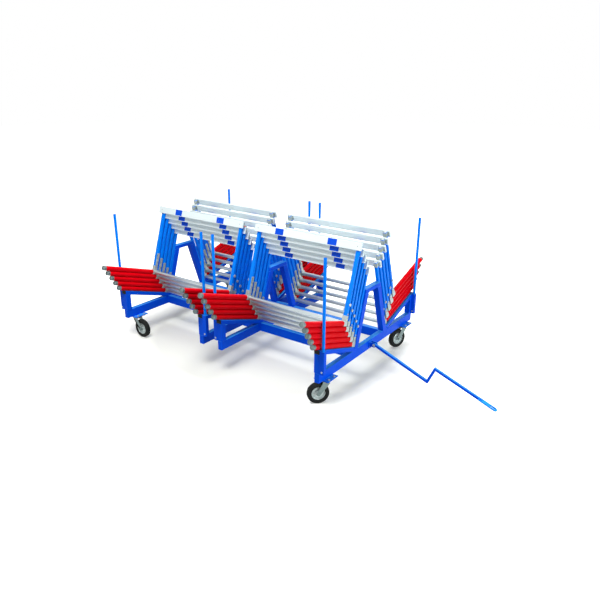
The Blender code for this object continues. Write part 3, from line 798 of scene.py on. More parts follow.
@dataclass
class CrossFrames:
    """The four welded cross frames and the rails between them.

    Attributes:
        finishes: the cart's finishes.
        mid_x, end_x: how far the frames stand from the cart's middle.
        out: half a beam's length.
        beam_half: half a beam's width.
        beam_low, beam_top: the beam's lower and upper face.
        width: a post's, an arm's or a leg's width along X.
        post, leg, arm: how deep a post, a leg and an arm is.
        nook_y, nook_z: the corner where an arm meets a leg.
        leg_foot: how far out a leg's outer face lands on the beam.
        a_top, a_under: the A-frame bar's upper and lower face.
        round_by: how far a tube's edges are rounded.
        socket, socket_top, bore: a rod socket's width, its upper end and the width of its hole.
        floor: how thick a socket's closed foot is.
        caster_y: how far a caster's swivel is from the middle.
        pad: half the length and half the width of a caster's seat, and its thickness.
        bolt: how far a caster's bolts are from its swivel.
        bolt_under: the lower face of a caster's plate.
        stop, stop_up: a stop bolt's radius and its height above the beam.
        plug_in, plug_out: how far an end plug reaches into an arm and out of it.
        rail_half, rail_drop: half a rail's width, and how far its top is below a beam's.
        face_bead, socket_bead, rail_bead: the radii of the finer weld beads.
    """

    finishes: Finishes
    mid_x: float = 0.12
    end_x: float = 1.22
    out: float = 0.88
    beam_half: float = 0.025
    beam_low: float = 0.2496
    beam_top: float = 0.3396
    width: float = 0.060
    post: float = 0.060
    leg: float = 0.060
    arm: float = 0.040
    nook_y: float = 0.29795
    nook_z: float = 0.3736
    leg_foot: float = 0.309
    a_top: float = 0.8826
    a_under: float = 0.8426
    round_by: float = 0.004
    socket: float = 0.040
    socket_top: float = 0.5547
    bore: float = 0.029
    floor: float = 0.024
    caster_y: float = 0.733
    pad: Point = (0.075, 0.080, 0.008)
    bolt: Flat = (0.0575, 0.040)
    bolt_under: float = 0.2373
    stop: float = 0.0038
    stop_up: float = 0.025
    plug_in: float = 0.004
    plug_out: float = 0.003
    rail_half: float = 0.025
    rail_drop: float = 0.0013
    face_bead: float = 0.0022
    socket_bead: float = 0.002
    rail_bead: float = 0.0024

    def places(self) -> dict[str, tuple[float, int, bool]]:
        """Each frame's X, the side its sockets stand on and whether casters carry it."""
        return {
            "left": (CART_X - self.end_x, -1, True),
            "mid_left": (CART_X - self.mid_x, 1, False),
            "mid_right": (CART_X + self.mid_x, -1, False),
            "right": (CART_X + self.end_x, 1, True),
        }

    def arm_top(self, y: float) -> float:
        """Height of an arm's top face at a distance y from the middle."""
        return self.nook_z + TAN * (y - self.nook_y)

    def leg_out(self, z: float) -> float:
        """Distance of a leg's outer face from the middle at height z."""
        return self.nook_y - TAN * (z - self.nook_z)

    def socket_x(self, x: float, side: int) -> float:
        """The middle of the sockets on one side of a frame that stands at x."""
        return x + side * (self.width + self.socket) / 2

    def members(self) -> list[list[Flat]]:
        """One side's arm, post and leg as (y, z) outlines.

        Returns:
            The three outlines, for the far side.
        """
        fall, run = self.arm / COS, self.leg / COS
        lands = self.nook_y + (self.beam_top + fall - self.nook_z) / TAN
        foot = self.beam_top
        inner = self.out - self.post
        arm = [(self.nook_y, self.nook_z), (self.leg_foot, foot), (lands, foot),
               (self.out, self.arm_top(self.out) - fall), (self.out, self.arm_top(self.out))]
        post = [(inner, foot), (self.out, foot), (self.out, self.arm_top(self.out) - fall),
                (inner, self.arm_top(inner) - fall)]
        leg = [(self.leg_foot, foot), (self.leg_out(self.a_under), self.a_under),
               (self.leg_out(self.a_under) - run, self.a_under), (self.leg_foot - run, foot)]
        return [arm, post, leg]

    def build(self) -> None:
        """Builds every frame and rail."""
        for name, (x, side, carried) in self.places().items():
            self.build_frame(name, x, side, carried)
            self.build_plugs(name, x)
            self.build_bolts(name, x, side, carried)
        self.build_rails()

    def build_frame(self, name: str, x: float, side: int, carried: bool) -> None:
        """Builds one welded frame.

        Args:
            name: which frame.
            x: its middle plane.
            side: which side of it the sockets stand on.
            carried: whether casters stand under it.
        """
        piece = Piece(f"welded_frame_{name}")
        half = self.width / 2
        ends = self.out - 0.0005
        piece.box((x - self.beam_half, -ends, self.beam_low), (x + self.beam_half, ends, self.beam_top),
                  self.round_by, 3)
        for sign in (-1, 1):
            for outline in self.members():
                corners = [(sign * y, z) for y, z in outline]
                piece.slab(corners, across(x), self.width, self.round_by, 3)
            self.weld_side(piece, x, sign)
            self.add_socket(piece, x, side, sign)
            if carried:
                self.add_pad(piece, x, sign * self.caster_y)
        bar = [(-self.leg_out(self.a_top), self.a_top), (self.leg_out(self.a_top), self.a_top),
               (self.leg_out(self.a_under), self.a_under), (-self.leg_out(self.a_under), self.a_under)]
        piece.slab(bar, across(x), self.width, self.round_by, 3)
        for sign in (-1, 1):
            out = sign * self.leg_out(self.a_under)
            inner = sign * (self.leg_out(self.a_under) - self.leg / COS)
            for edge in (-1, 1):
                face = x + edge * (half - 0.001)
                piece.bead([(face, out, self.a_under), (face, inner, self.a_under)], self.face_bead)
        dress(piece.finish(), self.finishes.frame_blue, Slot.BLUE, "chassis", f"cross_frame_{name}")

    def add_pad(self, piece: Piece, x: float, y: float) -> None:
        """Adds a caster's seat under the beam.

        Args:
            piece: the frame.
            x, y: where the swivel is.
        """
        reach_x, reach_y, thick = self.pad
        z = self.beam_low
        piece.box((x - reach_x, y - reach_y, z - thick), (x + reach_x, y + reach_y, z), 0.0015)
        for edge in (-self.beam_half, self.beam_half):
            piece.bead([(x + edge, y - 0.075, z), (x + edge, y + 0.075, z)])

    def weld_side(self, piece: Piece, x: float, sign: int) -> None:
        """Adds the weld beads of one side.

        Args:
            piece: the frame.
            x: its middle plane.
            sign: -1 near, 1 far.
        """
        half, z = self.width / 2, self.beam_top
        run = self.leg / COS
        inner = self.out - self.post
        for y in (self.leg_foot, self.leg_foot - run, inner):
            piece.bead([(x - self.beam_half, sign * y, z), (x + self.beam_half, sign * y, z)])
        fall = self.arm / COS
        for edge in (-1, 1):
            face = x + edge * (half - 0.001)
            piece.bead([(face, sign * inner, self.arm_top(inner) - fall),
                        (face, sign * (self.out - 0.003), self.arm_top(self.out) - fall)], self.face_bead)
            nook = [(face, sign * self.nook_y, self.nook_z), (face, sign * self.leg_foot, z)]
            piece.bead(nook, self.face_bead)

    def add_socket(self, piece: Piece, x: float, side: int, sign: int) -> None:
        """Adds a stake rod's square socket.

        Args:
            piece: the frame.
            x: its middle plane.
            side: which side of the frame the socket stands on.
            sign: -1 near, 1 far.
        """
        out = self.out - self.socket / 2
        bpy.ops.mesh.select_all(action="DESELECT")
        middle = (self.socket_x(x, side), sign * out, (self.beam_top + self.socket_top) / 2)
        size = (self.socket, self.socket, self.socket_top - self.beam_top)
        bpy.ops.mesh.primitive_cube_add(size=1.0, location=middle, scale=size)
        upright = Vector((0, 0, 1))
        piece.open_end(upright, (self.socket - self.bore) / 2, size[2] - self.floor)
        piece.round_edges(0.003, 3, lambda edge: edge.is_convex and abs(
            (edge.verts[1].co - edge.verts[0].co).normalized().dot(upright)) > 0.99)
        seam = x + side * self.width / 2
        low, high = self.beam_top + 0.01, self.socket_top - 0.006
        for y in sorted((sign * self.out, sign * (self.out - self.socket))):
            piece.bead([(seam, y, low), (seam, y, high)], self.socket_bead)

    def build_plugs(self, name: str, x: float) -> None:
        """Builds the black plugs in a frame's open arm ends.

        Args:
            name: which frame.
            x: its middle plane.
        """
        piece = Piece(f"end_plugs_{name}")
        top = self.arm_top(self.out)
        low = top - self.arm / COS
        half = self.width / 2 - 0.002
        for sign in (-1, 1):
            inner, outer = sign * (self.out - self.plug_in), sign * (self.out + self.plug_out)
            piece.box((x - half, inner, low + 0.002), (x + half, outer, top - 0.003), 0.002)
            for k in range(3):
                z = low + 0.012 + k * 0.009
                inner, outer = sign * (self.out + 0.002), sign * (self.out + 0.0042)
                piece.box((x - half + 0.008, inner, z), (x + half - 0.008, outer, z + 0.003), 0.0006)
        dress(piece.finish(), self.finishes.black_plastic, Slot.BLUE, "chassis")

    def build_bolts(self, name: str, x: float, side: int, carried: bool) -> None:
        """Builds a frame's bright bolts: the sockets' stop bolts and the casters' bolts.

        Args:
            name: which frame.
            x: its middle plane.
            side: which side of it the sockets stand on.
            carried: whether casters stand under it.
        """
        piece = Piece(f"frame_bolts_{name}")
        stop_x = self.socket_x(x, side)
        z = self.beam_top + self.stop_up
        for sign in (-1, 1):
            middle = sign * (self.out - self.socket / 2)
            inner = middle - sign * self.socket / 2
            piece.rod((stop_x, middle - sign * 0.018, z), (stop_x, middle + sign * 0.020, z), self.stop)
            piece.hex_bolt((stop_x, sign * self.out, z), (0, sign, 0), 0.0072, 0.005)
            piece.hex_bolt((stop_x, inner, z), (0, -sign, 0), 0.0072, 0.006)
            if carried:
                for dx in (-self.bolt[0], self.bolt[0]):
                    for dy in (-self.bolt[1], self.bolt[1]):
                        self.add_bolt(piece, x + dx, sign * self.caster_y + dy)
        dress(piece.finish(), self.finishes.bright_zinc, Slot.STEEL, "chassis")

    def add_bolt(self, piece: Piece, x: float, y: float) -> None:
        """Adds a bolt and nut through a caster's seat and plate.

        Args:
            piece: the bolts.
            x, y: where it goes through.
        """
        piece.hex_bolt((x, y, self.beam_low), (0, 0, 1), 0.0085, 0.008)
        piece.hex_bolt((x, y, self.bolt_under), (0, 0, -1), 0.0085, 0.006)
        piece.rod((x, y, self.bolt_under - 0.0002), (x, y, self.beam_low + 0.011), 0.0042)

    def build_rails(self) -> None:
        """Builds the six rails, welded between the beams."""
        middle = self.leg_foot - self.leg / COS / 2
        spans = {"left": (-self.end_x, -self.mid_x), "middle": (-self.mid_x, self.mid_x),
                 "right": (self.mid_x, self.end_x)}
        low, top = self.beam_low, self.beam_top - self.rail_drop
        for side in Side:
            for span, (start, end) in spans.items():
                piece = Piece(f"side_rail_{side.word}_{span}")
                x0, x1 = CART_X + start + self.beam_half + GAP, CART_X + end - self.beam_half - GAP
                y = side.value * middle
                inner, outer = y - self.rail_half, y + self.rail_half
                piece.box((x0, inner, low), (x1, outer, top), self.round_by, 3)
                for x in (x0 + 0.001, x1 - 0.001):
                    for edge in (inner, outer):
                        piece.bead([(x, edge, low + 0.004), (x, edge, top - 0.004)], self.rail_bead)
                    piece.bead([(x, y - 0.021, top), (x, y + 0.021, top)], self.rail_bead)
                node = f"rail_{side.word}_{span}"
                dress(piece.finish(), self.finishes.frame_blue, Slot.BLUE, "chassis", node)


@dataclass
class StakeRods:
    """The eight round stake rods.

    Attributes:
        finishes: the cart's finishes.
        frames: the cross frames that hold them.
        radius: a rod's radius.
        foot, top: its lower and upper end.
        wall: the tube's wall.
    """

    finishes: Finishes
    frames: CrossFrames
    radius: float = 0.0135
    foot: float = 0.3689
    top: float = 1.361
    wall: float = 0.002

    def build(self) -> None:
        """Builds one rod and copies it into every socket."""
        piece = Piece("stake_rod_model")
        piece.rod((0, 0, self.foot), (0, 0, self.top), self.radius, 0.0008, 40, self.wall, 0.12)
        model = piece.finish()
        for name, (x, side, _) in self.frames.places().items():
            for where in Side:
                out = self.frames.out - self.frames.socket / 2
                spot = (self.frames.socket_x(x, side), where.value * out, 0)
                rod = copy_of(model, f"tube_rod_{where.word}_{name}", Matrix.Translation(spot))
                node = f"stake_rod_{where.word}_{name}"
                dress(rod, self.finishes.tube_blue, Slot.BLUE, node, node)
        remove([model])


@dataclass
class Drawbar:
    """The cranked drawbar with its slotted eye, its bracket and its pin.

    Attributes:
        finishes: the cart's finishes.
        pin_x, pin_z: where the pin is.
        pin, pin_half: the pin's radius and half its length.
        hole, reach: the pin holes' radius and half the length that is bored.
        size: the bar's width and depth.
        crank: the bar's two corners, in (x, z) from the pin.
        straight: how long the bar's last straight is.
        eye, eye_width, eye_thickness: the flat eye's length past the bar, its width and thickness.
        lap: how far the eye reaches in under the bar.
        slot, slot_length, rim: half the slot's width, its length, and what is left past it.
        plate_x, plate_thick: the back of the bracket's plate, and how thick it is.
        plate_half, plate_out: half the plate's height and half its width.
        lug_y, lug, lug_radius: how far a lug is from the middle, its thickness and its radius.
    """

    finishes: Finishes
    pin_x: float = 1.293
    pin_z: float = 0.2986
    pin: float = 0.0069
    pin_half: float = 0.0305
    hole: float = 0.0073
    reach: float = 0.03
    size: float = 0.025
    crank: tuple[Flat, Flat] = ((0.555, -0.218), (0.620, -0.071))
    straight: float = 0.477
    eye: float = 0.150
    eye_width: float = 0.050
    eye_thickness: float = 0.010
    lap: float = 0.030
    slot: float = 0.009
    slot_length: float = 0.054
    rim: float = 0.016
    plate_x: float = 1.2453
    plate_thick: float = 0.008
    plate_half: float = 0.028
    plate_out: float = 0.040
    lug_y: float = 0.0175
    lug: float = 0.008
    lug_radius: float = 0.022

    def centreline(self) -> tuple[list[Flat], float]:
        """The bar's centreline and how steeply its last straight falls.

        Returns:
            The points in (x, z) from the pin, and the angle.
        """
        x, z = self.crank[1]
        drop = self.pin_z + z - self.eye_thickness / 2 - 0.001
        angle = math.asin(drop / (self.straight + self.eye))
        end = (x + self.straight * math.cos(angle), z - self.straight * math.sin(angle))
        return [(0.0, 0.0), *self.crank, end], angle

    def pin_hole(self) -> bpy.types.Object:
        """The tool that bores the bar and the lugs."""
        x, z = CART_X + self.pin_x, self.pin_z
        return Piece("pin_hole").rod((x, -self.reach, z), (x, self.reach, z), self.hole, 0, 32).finish()

    def offset(self, points: Sequence[Flat], distance: float) -> list[Flat]:
        """An open line moved sideways, with mitred corners.

        Args:
            points: the line.
            distance: how far it moves, to its left.

        Returns:
            The moved line.
        """
        runs = [(Vector(b) - Vector(a)).normalized() for a, b in zip(points, points[1:])]
        starts = [Vector(a) + distance * Vector((-run.y, run.x)) for a, run in zip(points, runs)]
        moved = [starts[0]]
        for a, u, b, v in zip(starts, runs, starts[1:], runs[1:]):
            moved.append(a + (b - a).cross(v) / u.cross(v) * u)
        moved.append(starts[-1] + runs[-1] * (Vector(points[-1]) - Vector(points[-2])).length)
        return [tuple(point) for point in moved]

    def build(self) -> None:
        """Builds the bar, the bracket and the pin."""
        self.build_bar()
        self.build_bracket()
        self.build_pin()

    def build_bar(self) -> None:
        """Builds the bar with the eye welded on its end."""
        line, angle = self.centreline()
        root = Vector((CART_X + self.pin_x, 0, self.pin_z))
        half = self.size / 2
        first = math.degrees(math.atan2(line[1][1], line[1][0]))
        nose = arc((0, 0), half, first + 90, first + 270, 10)[1:-1]
        outline = self.offset(line, half) + self.offset(line, -half)[::-1] + nose[::-1]
        hole = self.pin_hole()
        piece = Piece("tow_bar")
        piece.slab(outline, along(0, root.x, root.z), self.size, 0.0025, 3).cut(hole)
        end = root + Vector((line[-1][0], 0, line[-1][1]))
        back = Vector((-math.cos(angle), 0, math.sin(angle)))
        for side in (-half, half):
            out = end + Vector((0, side, 0))
            piece.bead([out + back * 0.028, out + back * 0.003])
        dress(piece.finish(), self.finishes.frame_blue, Slot.BLUE, "drawbar", "drawbar")
        self.build_eye(end, angle)

    def build_eye(self, end: Vector, angle: float) -> None:
        """Builds the flat slotted eye.

        Args:
            end: the end of the bar's centreline.
            angle: how steeply it falls.
        """
        half, length = self.eye_width / 2, self.eye + self.lap
        start = end - Vector((math.cos(angle), 0, -math.sin(angle))) * self.lap
        lie = Matrix.Translation(start) @ Matrix.Rotation(angle, 4, "Y")
        outline = [(0.0, -half)] + arc((length - half, 0), half, -90, 90, 16) + [(0.0, half)]
        outer = length - self.rim - self.slot
        inner = outer - self.slot_length + 2 * self.slot
        slot = arc((outer, 0), self.slot, -90, 90, 10) + arc((inner, 0), self.slot, 90, 270, 10)
        tool = Piece("slot_tool").slab(slot, lie, 0.03, 0.0).finish()
        eye = Piece("towing_eye").slab(outline, lie, self.eye_thickness, 0.0016, 2).cut(tool)
        dress(eye.finish(), self.finishes.tube_blue, Slot.BLUE, "drawbar")

    def build_bracket(self) -> None:
        """Builds the plate and the two lugs that hold the pin."""
        base = CART_X + self.plate_x
        face = base + self.plate_thick
        x, z = CART_X + self.pin_x, self.pin_z
        hole = self.pin_hole()
        piece = Piece("pin_bracket")
        for side in (-1, 1):
            nose = arc((x, z), self.lug_radius, -90, 90, 14)
            outline = [(face - 0.001, z - self.lug_radius)] + nose + [(face - 0.001, z + self.lug_radius)]
            piece.slab(outline, along(side * self.lug_y), self.lug, 0.001)
        piece.cut(hole)
        low, high = z - self.plate_half, z + self.plate_half
        piece.box((base, -self.plate_out, low), (face, self.plate_out, high), 0.0015)
        for side in (-1, 1):
            for edge in (self.lug_y - self.lug / 2, self.lug_y + self.lug / 2):
                piece.bead([(face, side * edge, z - 0.021), (face, side * edge, z + 0.021)], 0.002)
        for y in (0.001 - self.plate_out, self.plate_out - 0.001):
            piece.bead([(base + 0.001, y, low + 0.0014), (base + 0.001, y, high - 0.0016)], 0.0022)
        dress(piece.finish(), self.finishes.frame_blue, Slot.BLUE, "chassis", "drawbar_bracket")

    def build_pin(self) -> None:
        """Builds the hinge bolt with its nut."""
        x, z = CART_X + self.pin_x, self.pin_z
        piece = Piece("hinge_bolt")
        piece.rod((x, -self.pin_half, z), (x, self.pin_half, z), self.pin, 0.0008, 28)
        for side in (-1, 1):
            piece.hex_bolt((x, side * 0.0218, z), (0, side, 0), 0.0118, 0.0078)
        dress(piece.finish(), self.finishes.bright_zinc, Slot.STEEL, "chassis", "drawbar_pin")


@dataclass
class Casters:
    """The four swivel casters, each modelled with its swivel axis at the origin and trailing along X.

    Attributes:
        finishes: the cart's finishes.
        frames: the cross frames that they stand under.
        trail: how far the axle is behind the swivel.
        radius: the wheel's radius, and so the axle's height.
        axle: the axle's radius.
        leg: how far the middle of a fork's leg is from the fork's.
        tyre_inner: the tyre's inner radius.
    """

    finishes: Finishes
    frames: CrossFrames
    trail: float = 0.068
    radius: float = 0.100
    axle: float = 0.0058
    leg: float = 0.032
    tyre_inner: float = 0.0612

    def trails(self) -> dict[str, tuple[int, int, float]]:
        """Each caster's side along X, side along Y and the way it trails, in degrees from X."""
        return {"near_right": (1, -1, 226.0), "near_left": (-1, -1, 0.0),
                "far_right": (1, 1, -110.0), "far_left": (-1, 1, 15.0)}

    def build(self) -> None:
        """Models one caster and copies it to its four places."""
        looks = self.finishes
        models = {
            "plate": (self.model_plate(), looks.dull_zinc, Slot.STEEL),
            "fork": (self.model_fork(), looks.dull_zinc, Slot.STEEL),
            "tyre": (self.model_tyre(), looks.rubber, Slot.RUBBER),
            "rim": (self.model_rim(), looks.bright_zinc, Slot.STEEL),
        }
        for name, (side, sign, degrees) in self.trails().items():
            spot = Matrix.Translation((CART_X + side * self.frames.end_x, sign * self.frames.caster_y, 0))
            turned = spot @ Matrix.Rotation(math.radians(degrees), 4, "Z")
            wheel = f"wheel_{name}"
            bodies = {"plate": "chassis", "fork": f"caster_{name}", "tyre": wheel, "rim": wheel}
            for kind, (model, material, slot) in models.items():
                obj = copy_of(model, f"swivel_{kind}_{name}", spot if kind == "plate" else turned)
                dress(obj, material, slot, bodies[kind], f"caster_{kind}_{name}")
        remove([model for model, _, _ in models.values()])

    def model_plate(self) -> bpy.types.Object:
        """Models the top plate and the race under it."""
        piece = Piece("plate_model")
        thickness = 0.004
        lie = Matrix.Translation((0, 0, self.frames.bolt_under + thickness / 2))
        piece.slab(rounded((0, 0), (0.0585, 0.046), 0.009), lie, thickness, 0.0006)
        race = [(0.006, 0.2236), (0.026, 0.2236), (0.0315, 0.2262), (0.0318, 0.2295), (0.0285, 0.2306),
                (0.0285, 0.2318), (0.0319, 0.233), (0.0315, 0.2365), (0.026, 0.2376), (0.006, 0.2376)]
        piece.lathe(race, (0, 0, 0), (0, 0, 1))
        return piece.finish()

    def model_fork(self) -> bpy.types.Object:
        """Models the fork: crown, legs, axle and nuts."""
        piece = Piece("fork_model")
        crown = [(0.0, 0.2105), (0.030, 0.2105), (0.0375, 0.2095), (0.039, 0.2125), (0.0385, 0.2185),
                 (0.034, 0.2226), (0.0, 0.2229)]
        piece.lathe(crown, (0, 0, 0), (0, 0, 1))
        piece.hex_bolt((0, 0, 0.2108), (0, 0, -1), 0.011, 0.0065)
        out, height = self.trail, self.radius
        boss = arc((out, height), 0.019, 18, -162, 16)
        outline = [(-0.030, 0.219), (0.031, 0.219), (0.034, 0.200)] + boss + [(-0.030, 0.197)]
        rib = [(-0.018, 0.212), (-0.006, 0.212), (out + 0.003, 0.118), (out - 0.009, 0.114)]
        for side in (-1, 1):
            face = side * (self.leg + 0.002)
            piece.slab(outline, along(side * self.leg), 0.004, 0.0012)
            piece.slab(rib, along(face + side * 0.0002), 0.002, 0.0009)
            piece.box((-0.030, side * 0.020, 0.2095), (0.031, face, 0.2195), 0.003, 3)
            piece.hex_bolt((out, face, height), (0, side, 0), 0.0108, 0.0075)
            piece.rod((out, face, height), (out, face + side * 0.0088, height), self.axle, 0.0008, 20)
        piece.rod((out, -0.031, height), (out, 0.031, height), self.axle, 0.0, 20)
        return piece.finish()

    def model_tyre(self) -> bpy.types.Object:
        """Models the solid tyre with its rounded shoulders and moulding lines."""
        low, top = self.tyre_inner, self.radius
        wall = top - low
        side = [(low, 0.0188), (low + 0.004, 0.0215), (low + 0.010, 0.0243), (low + 0.0115, 0.0236),
                (low + 0.013, 0.0246), (low + 0.55 * wall, 0.025), (low + 0.70 * wall, 0.0246),
                (low + 0.84 * wall, 0.0226), (low + 0.93 * wall, 0.0188), (low + 0.985 * wall, 0.0130),
                (top - 0.0001, 0.0075), (top - 0.0009, 0.0068), (top - 0.0009, 0.0058),
                (top - 0.0001, 0.0050)]
        profile = side + [(radius, -y) for radius, y in reversed(side)]
        return Piece("tyre_model").lathe(profile, (self.trail, 0, top), (0, 1, 0), 64).finish(40.0)

    def model_rim(self) -> bpy.types.Object:
        """Models the rim: two pressed dishes bolted together round a hub."""
        side = [(0.0067, 0.0288), (0.0150, 0.0288), (0.0165, 0.0275), (0.0168, 0.0120), (0.0200, 0.0085),
                (0.0290, 0.0070), (0.0360, 0.0100), (0.0440, 0.0108), (0.0490, 0.0085), (0.0520, 0.0095),
                (0.0545, 0.0150), (0.0575, 0.0182), (0.0605, 0.0186)]
        piece = Piece("rim_model")
        centre = Vector((self.trail, 0, self.radius))
        piece.lathe(side + [(radius, -y) for radius, y in reversed(side)], centre, (0, 1, 0), 64)
        for k in range(6):
            angle = math.radians(60 * k + 15)
            out = centre + Vector((math.cos(angle), 0, math.sin(angle))) * 0.040
            for face in (-1, 1):
                piece.hex_bolt(out + Vector((0, face * 0.0100, 0)), (0, face, 0), 0.0048, 0.0045)
        return piece.finish()


@dataclass
class Hurdles:
    """The twenty hurdles, modelled once with the corner line at the origin, feet along -Y and uprights up.

    Attributes:
        finishes: the cart's finishes.
        frames: the cross frames that carry them.
        spacing: between the uprights' middles.
        board_half: half the board's length.
        upright: the uprights' width and depth.
        tube_low, tube_high: the ends of an upright's outer tube.
        inner, inner_low: half the width of the inner tube, and its lower end.
        collar, collar_low, collar_high: half the width of the collar between them, and its ends.
        foot_end: how far the feet reach.
        foot_radius: a foot's radius.
        sleeve: how far a sleeve stands out over its foot.
        sleeve_start, sleeve_end: how far its ends are from the corner and from the foot's end.
        groove: how deep its grooves are.
        knob_z: the height of an upright's knob.
        board_low, board_high: the board's lower and upper edge.
        board_thick: how thick it is.
        panel_x: how far a blue panel's middle is from the board's.
        panel: how far the middles of a panel's rounded corners are from its middle.
        clip_low, clip_high: the ends of the straps that hold the board.
        bay: how far a stack's middle is from the cart's.
        nest_out, nest_up: the step from one hurdle to the next.
        count: how many a stack has.
    """

    finishes: Finishes
    frames: CrossFrames
    spacing: float = 1.10
    board_half: float = 0.59
    upright: float = 0.035
    tube_low: float = 0.018
    tube_high: float = 0.330
    inner: float = 0.0155
    inner_low: float = 0.300
    collar: float = 0.0172
    collar_low: float = 0.322
    collar_high: float = 0.346
    foot_end: float = 0.684
    foot_radius: float = 0.02415
    sleeve: float = 0.00014
    sleeve_start: float = 0.034
    sleeve_end: float = 0.028
    groove: float = 0.0012
    knob_z: float = 0.170
    board_low: float = 0.64585
    board_high: float = 0.71585
    board_thick: float = 0.0197
    panel_x: float = 0.293
    panel: Flat = (0.0435, 0.0255)
    clip_low: float = 0.664
    clip_high: float = 0.706
    bay: float = 0.67
    nest_out: float = 0.056
    nest_up: float = 0.0488
    count: int = 5

    def shifts(self) -> dict[str, float]:
        """How far each stack was set down from the middle of its bay."""
        return {"near_left": 0.010, "near_right": 0.002, "far_left": -0.008, "far_right": -0.010}

    def stands(self) -> tuple[float, float]:
        """The middles of the left and the right upright."""
        return -self.spacing / 2, self.spacing / 2

    def board_middle(self) -> float:
        """The height of the board's middle."""
        return (self.board_low + self.board_high) / 2

    def place(self, side: Side, half: str, rank: int) -> Matrix:
        """Where a hurdle lies.

        Args:
            side: the side of the cart.
            half: left or right.
            rank: 0 for the lowest.

        Returns:
            The matrix that takes the model there.
        """
        out = self.upright / 2 + GAP + rank * self.nest_out
        up = self.foot_radius + GAP + rank * self.nest_up
        y = self.frames.nook_y + out * COS - up * SIN
        z = self.frames.nook_z + out * SIN + up * COS
        x = CART_X + (-self.bay if half == "left" else self.bay) + self.shifts()[f"{side.word}_{half}"]
        turn = Matrix.Rotation(math.pi, 4, "Z") if side is Side.FAR else Matrix.Identity(4)
        return Matrix.Translation((x, side.value * y, z)) @ turn @ Matrix.Rotation(-LEAN, 4, "X")

    def build(self) -> None:
        """Models one hurdle's pieces and copies them to every place."""
        looks = {
            "uprights": (self.model_uprights(), self.finishes.tube_blue),
            "board": (self.model_board(), self.finishes.board_white),
            "panels": (self.model_panels(), self.finishes.panel_blue),
            "sleeves": (self.model_sleeves(), self.finishes.sleeve_red),
            "cross_tube": (self.model_tube(), self.finishes.drawn_alloy),
            "fittings": (self.model_fittings(), self.finishes.bright_zinc),
            "end_caps": (self.model_end_caps(), self.finishes.dull_zinc),
            # Black discs painted as shade for the scales' holes, and the uprights' side plugs
            "trim": (self.model_trim(), self.finishes.black_plastic),
        }
        for side in Side:
            for half in ("left", "right"):
                for rank in range(self.count):
                    node = f"hurdle_{side.word}_{half}_{rank + 1}"
                    place = self.place(side, half, rank)
                    for kind, (model, material) in looks.items():
                        obj = copy_of(model, f"{kind}_{side.word}_{half}_{rank + 1}", place)
                        dress(obj, material, Slot.HURDLE, node, *([node] if kind == "uprights" else []))
        remove([model for model, _ in looks.values()])

    def model_uprights(self) -> bpy.types.Object:
        """Models the two telescoping uprights."""
        piece = Piece("uprights_model")
        half, top = self.upright / 2, self.board_high - 0.004
        for x in self.stands():
            piece.box((x - half, -half, self.tube_low), (x + half, half - 0.0002, self.tube_high), 0.003, 3)
            piece.box((x - self.inner, -half + 0.0008, self.inner_low),
                      (x + self.inner, 0.0145, top), 0.003, 3)
            piece.box((x - self.collar, -half + 0.0002, self.collar_low),
                      (x + self.collar, half - 0.0004, self.collar_high), 0.002)
        return piece.finish()

    def model_board(self) -> bpy.types.Object:
        """Models the board: a white plank with end plates and screw seats."""
        back = -self.upright / 2
        front = back - self.board_thick
        low, high, end = self.board_low, self.board_high, self.board_half
        z = self.board_middle()
        tool = Piece("screw_seats")
        for x in self.stands():
            tool.rod((x, front + 0.003, z), (x, front - 0.004, z), 0.006, 0, 20)
        seats = tool.finish()
        piece = Piece("board_model")
        piece.box((-end, front, low), (end, back, high), 0.0035, 3).cut(seats)
        for side in (-1, 1):
            inner, outer = side * (end - 0.0012), side * (end + 0.0002)
            piece.box((inner, front + 0.003, low + 0.003), (outer, back - 0.003, high - 0.003), 0.0008)
        return piece.finish()

    def model_panels(self) -> bpy.types.Object:
        """Models the two plain blue panels let into the board's face."""
        piece = Piece("panels_model")
        thickness = 0.0016
        middle = -self.upright / 2 - 0.020 + thickness / 2
        for x in (-self.panel_x, self.panel_x):
            outline = rounded((x, self.board_middle()), self.panel, 0.004)
            piece.slab(outline, along(middle), thickness, 0.0003, 1)
        return piece.finish()

    def model_sleeves(self) -> bpy.types.Object:
        """Models the two red sleeves on the feet."""
        piece = Piece("sleeves_model")
        radius = self.foot_radius + self.sleeve
        start, end = self.sleeve_start, self.foot_end - self.sleeve_end
        ring = radius - self.groove
        profile = [(0.012, start), (ring, start), (radius, start + 0.002), (radius, start + 0.014),
                   (ring, start + 0.0155), (ring, start + 0.0185), (radius, start + 0.020),
                   (radius, end - 0.020), (ring, end - 0.0185), (ring, end - 0.0155), (radius, end - 0.014),
                   (radius, end - 0.002), (ring, end), (0.012, end)]
        for x in self.stands():
            piece.lathe(profile, (x, 0, 0), (0, -1, 0), 32)
        return piece.finish()

    def model_tube(self) -> bpy.types.Object:
        """Models the cross tube, drawn with two narrow grooves."""
        slot = [(0.0150, -0.0017), (0.0150, 0.0017)]
        corners = slot + arc((0, 0), 0.020, 5, 175, 18)
        corners += [(-y, -z) for y, z in slot] + arc((0, 0), 0.020, 185, 355, 18)
        piece = Piece("tube_model")
        piece.slab(corners, across(0.0) @ Matrix.Translation((-0.0025, 0, 0)), self.spacing - 0.030, 0.0)
        return piece.finish(50.0)

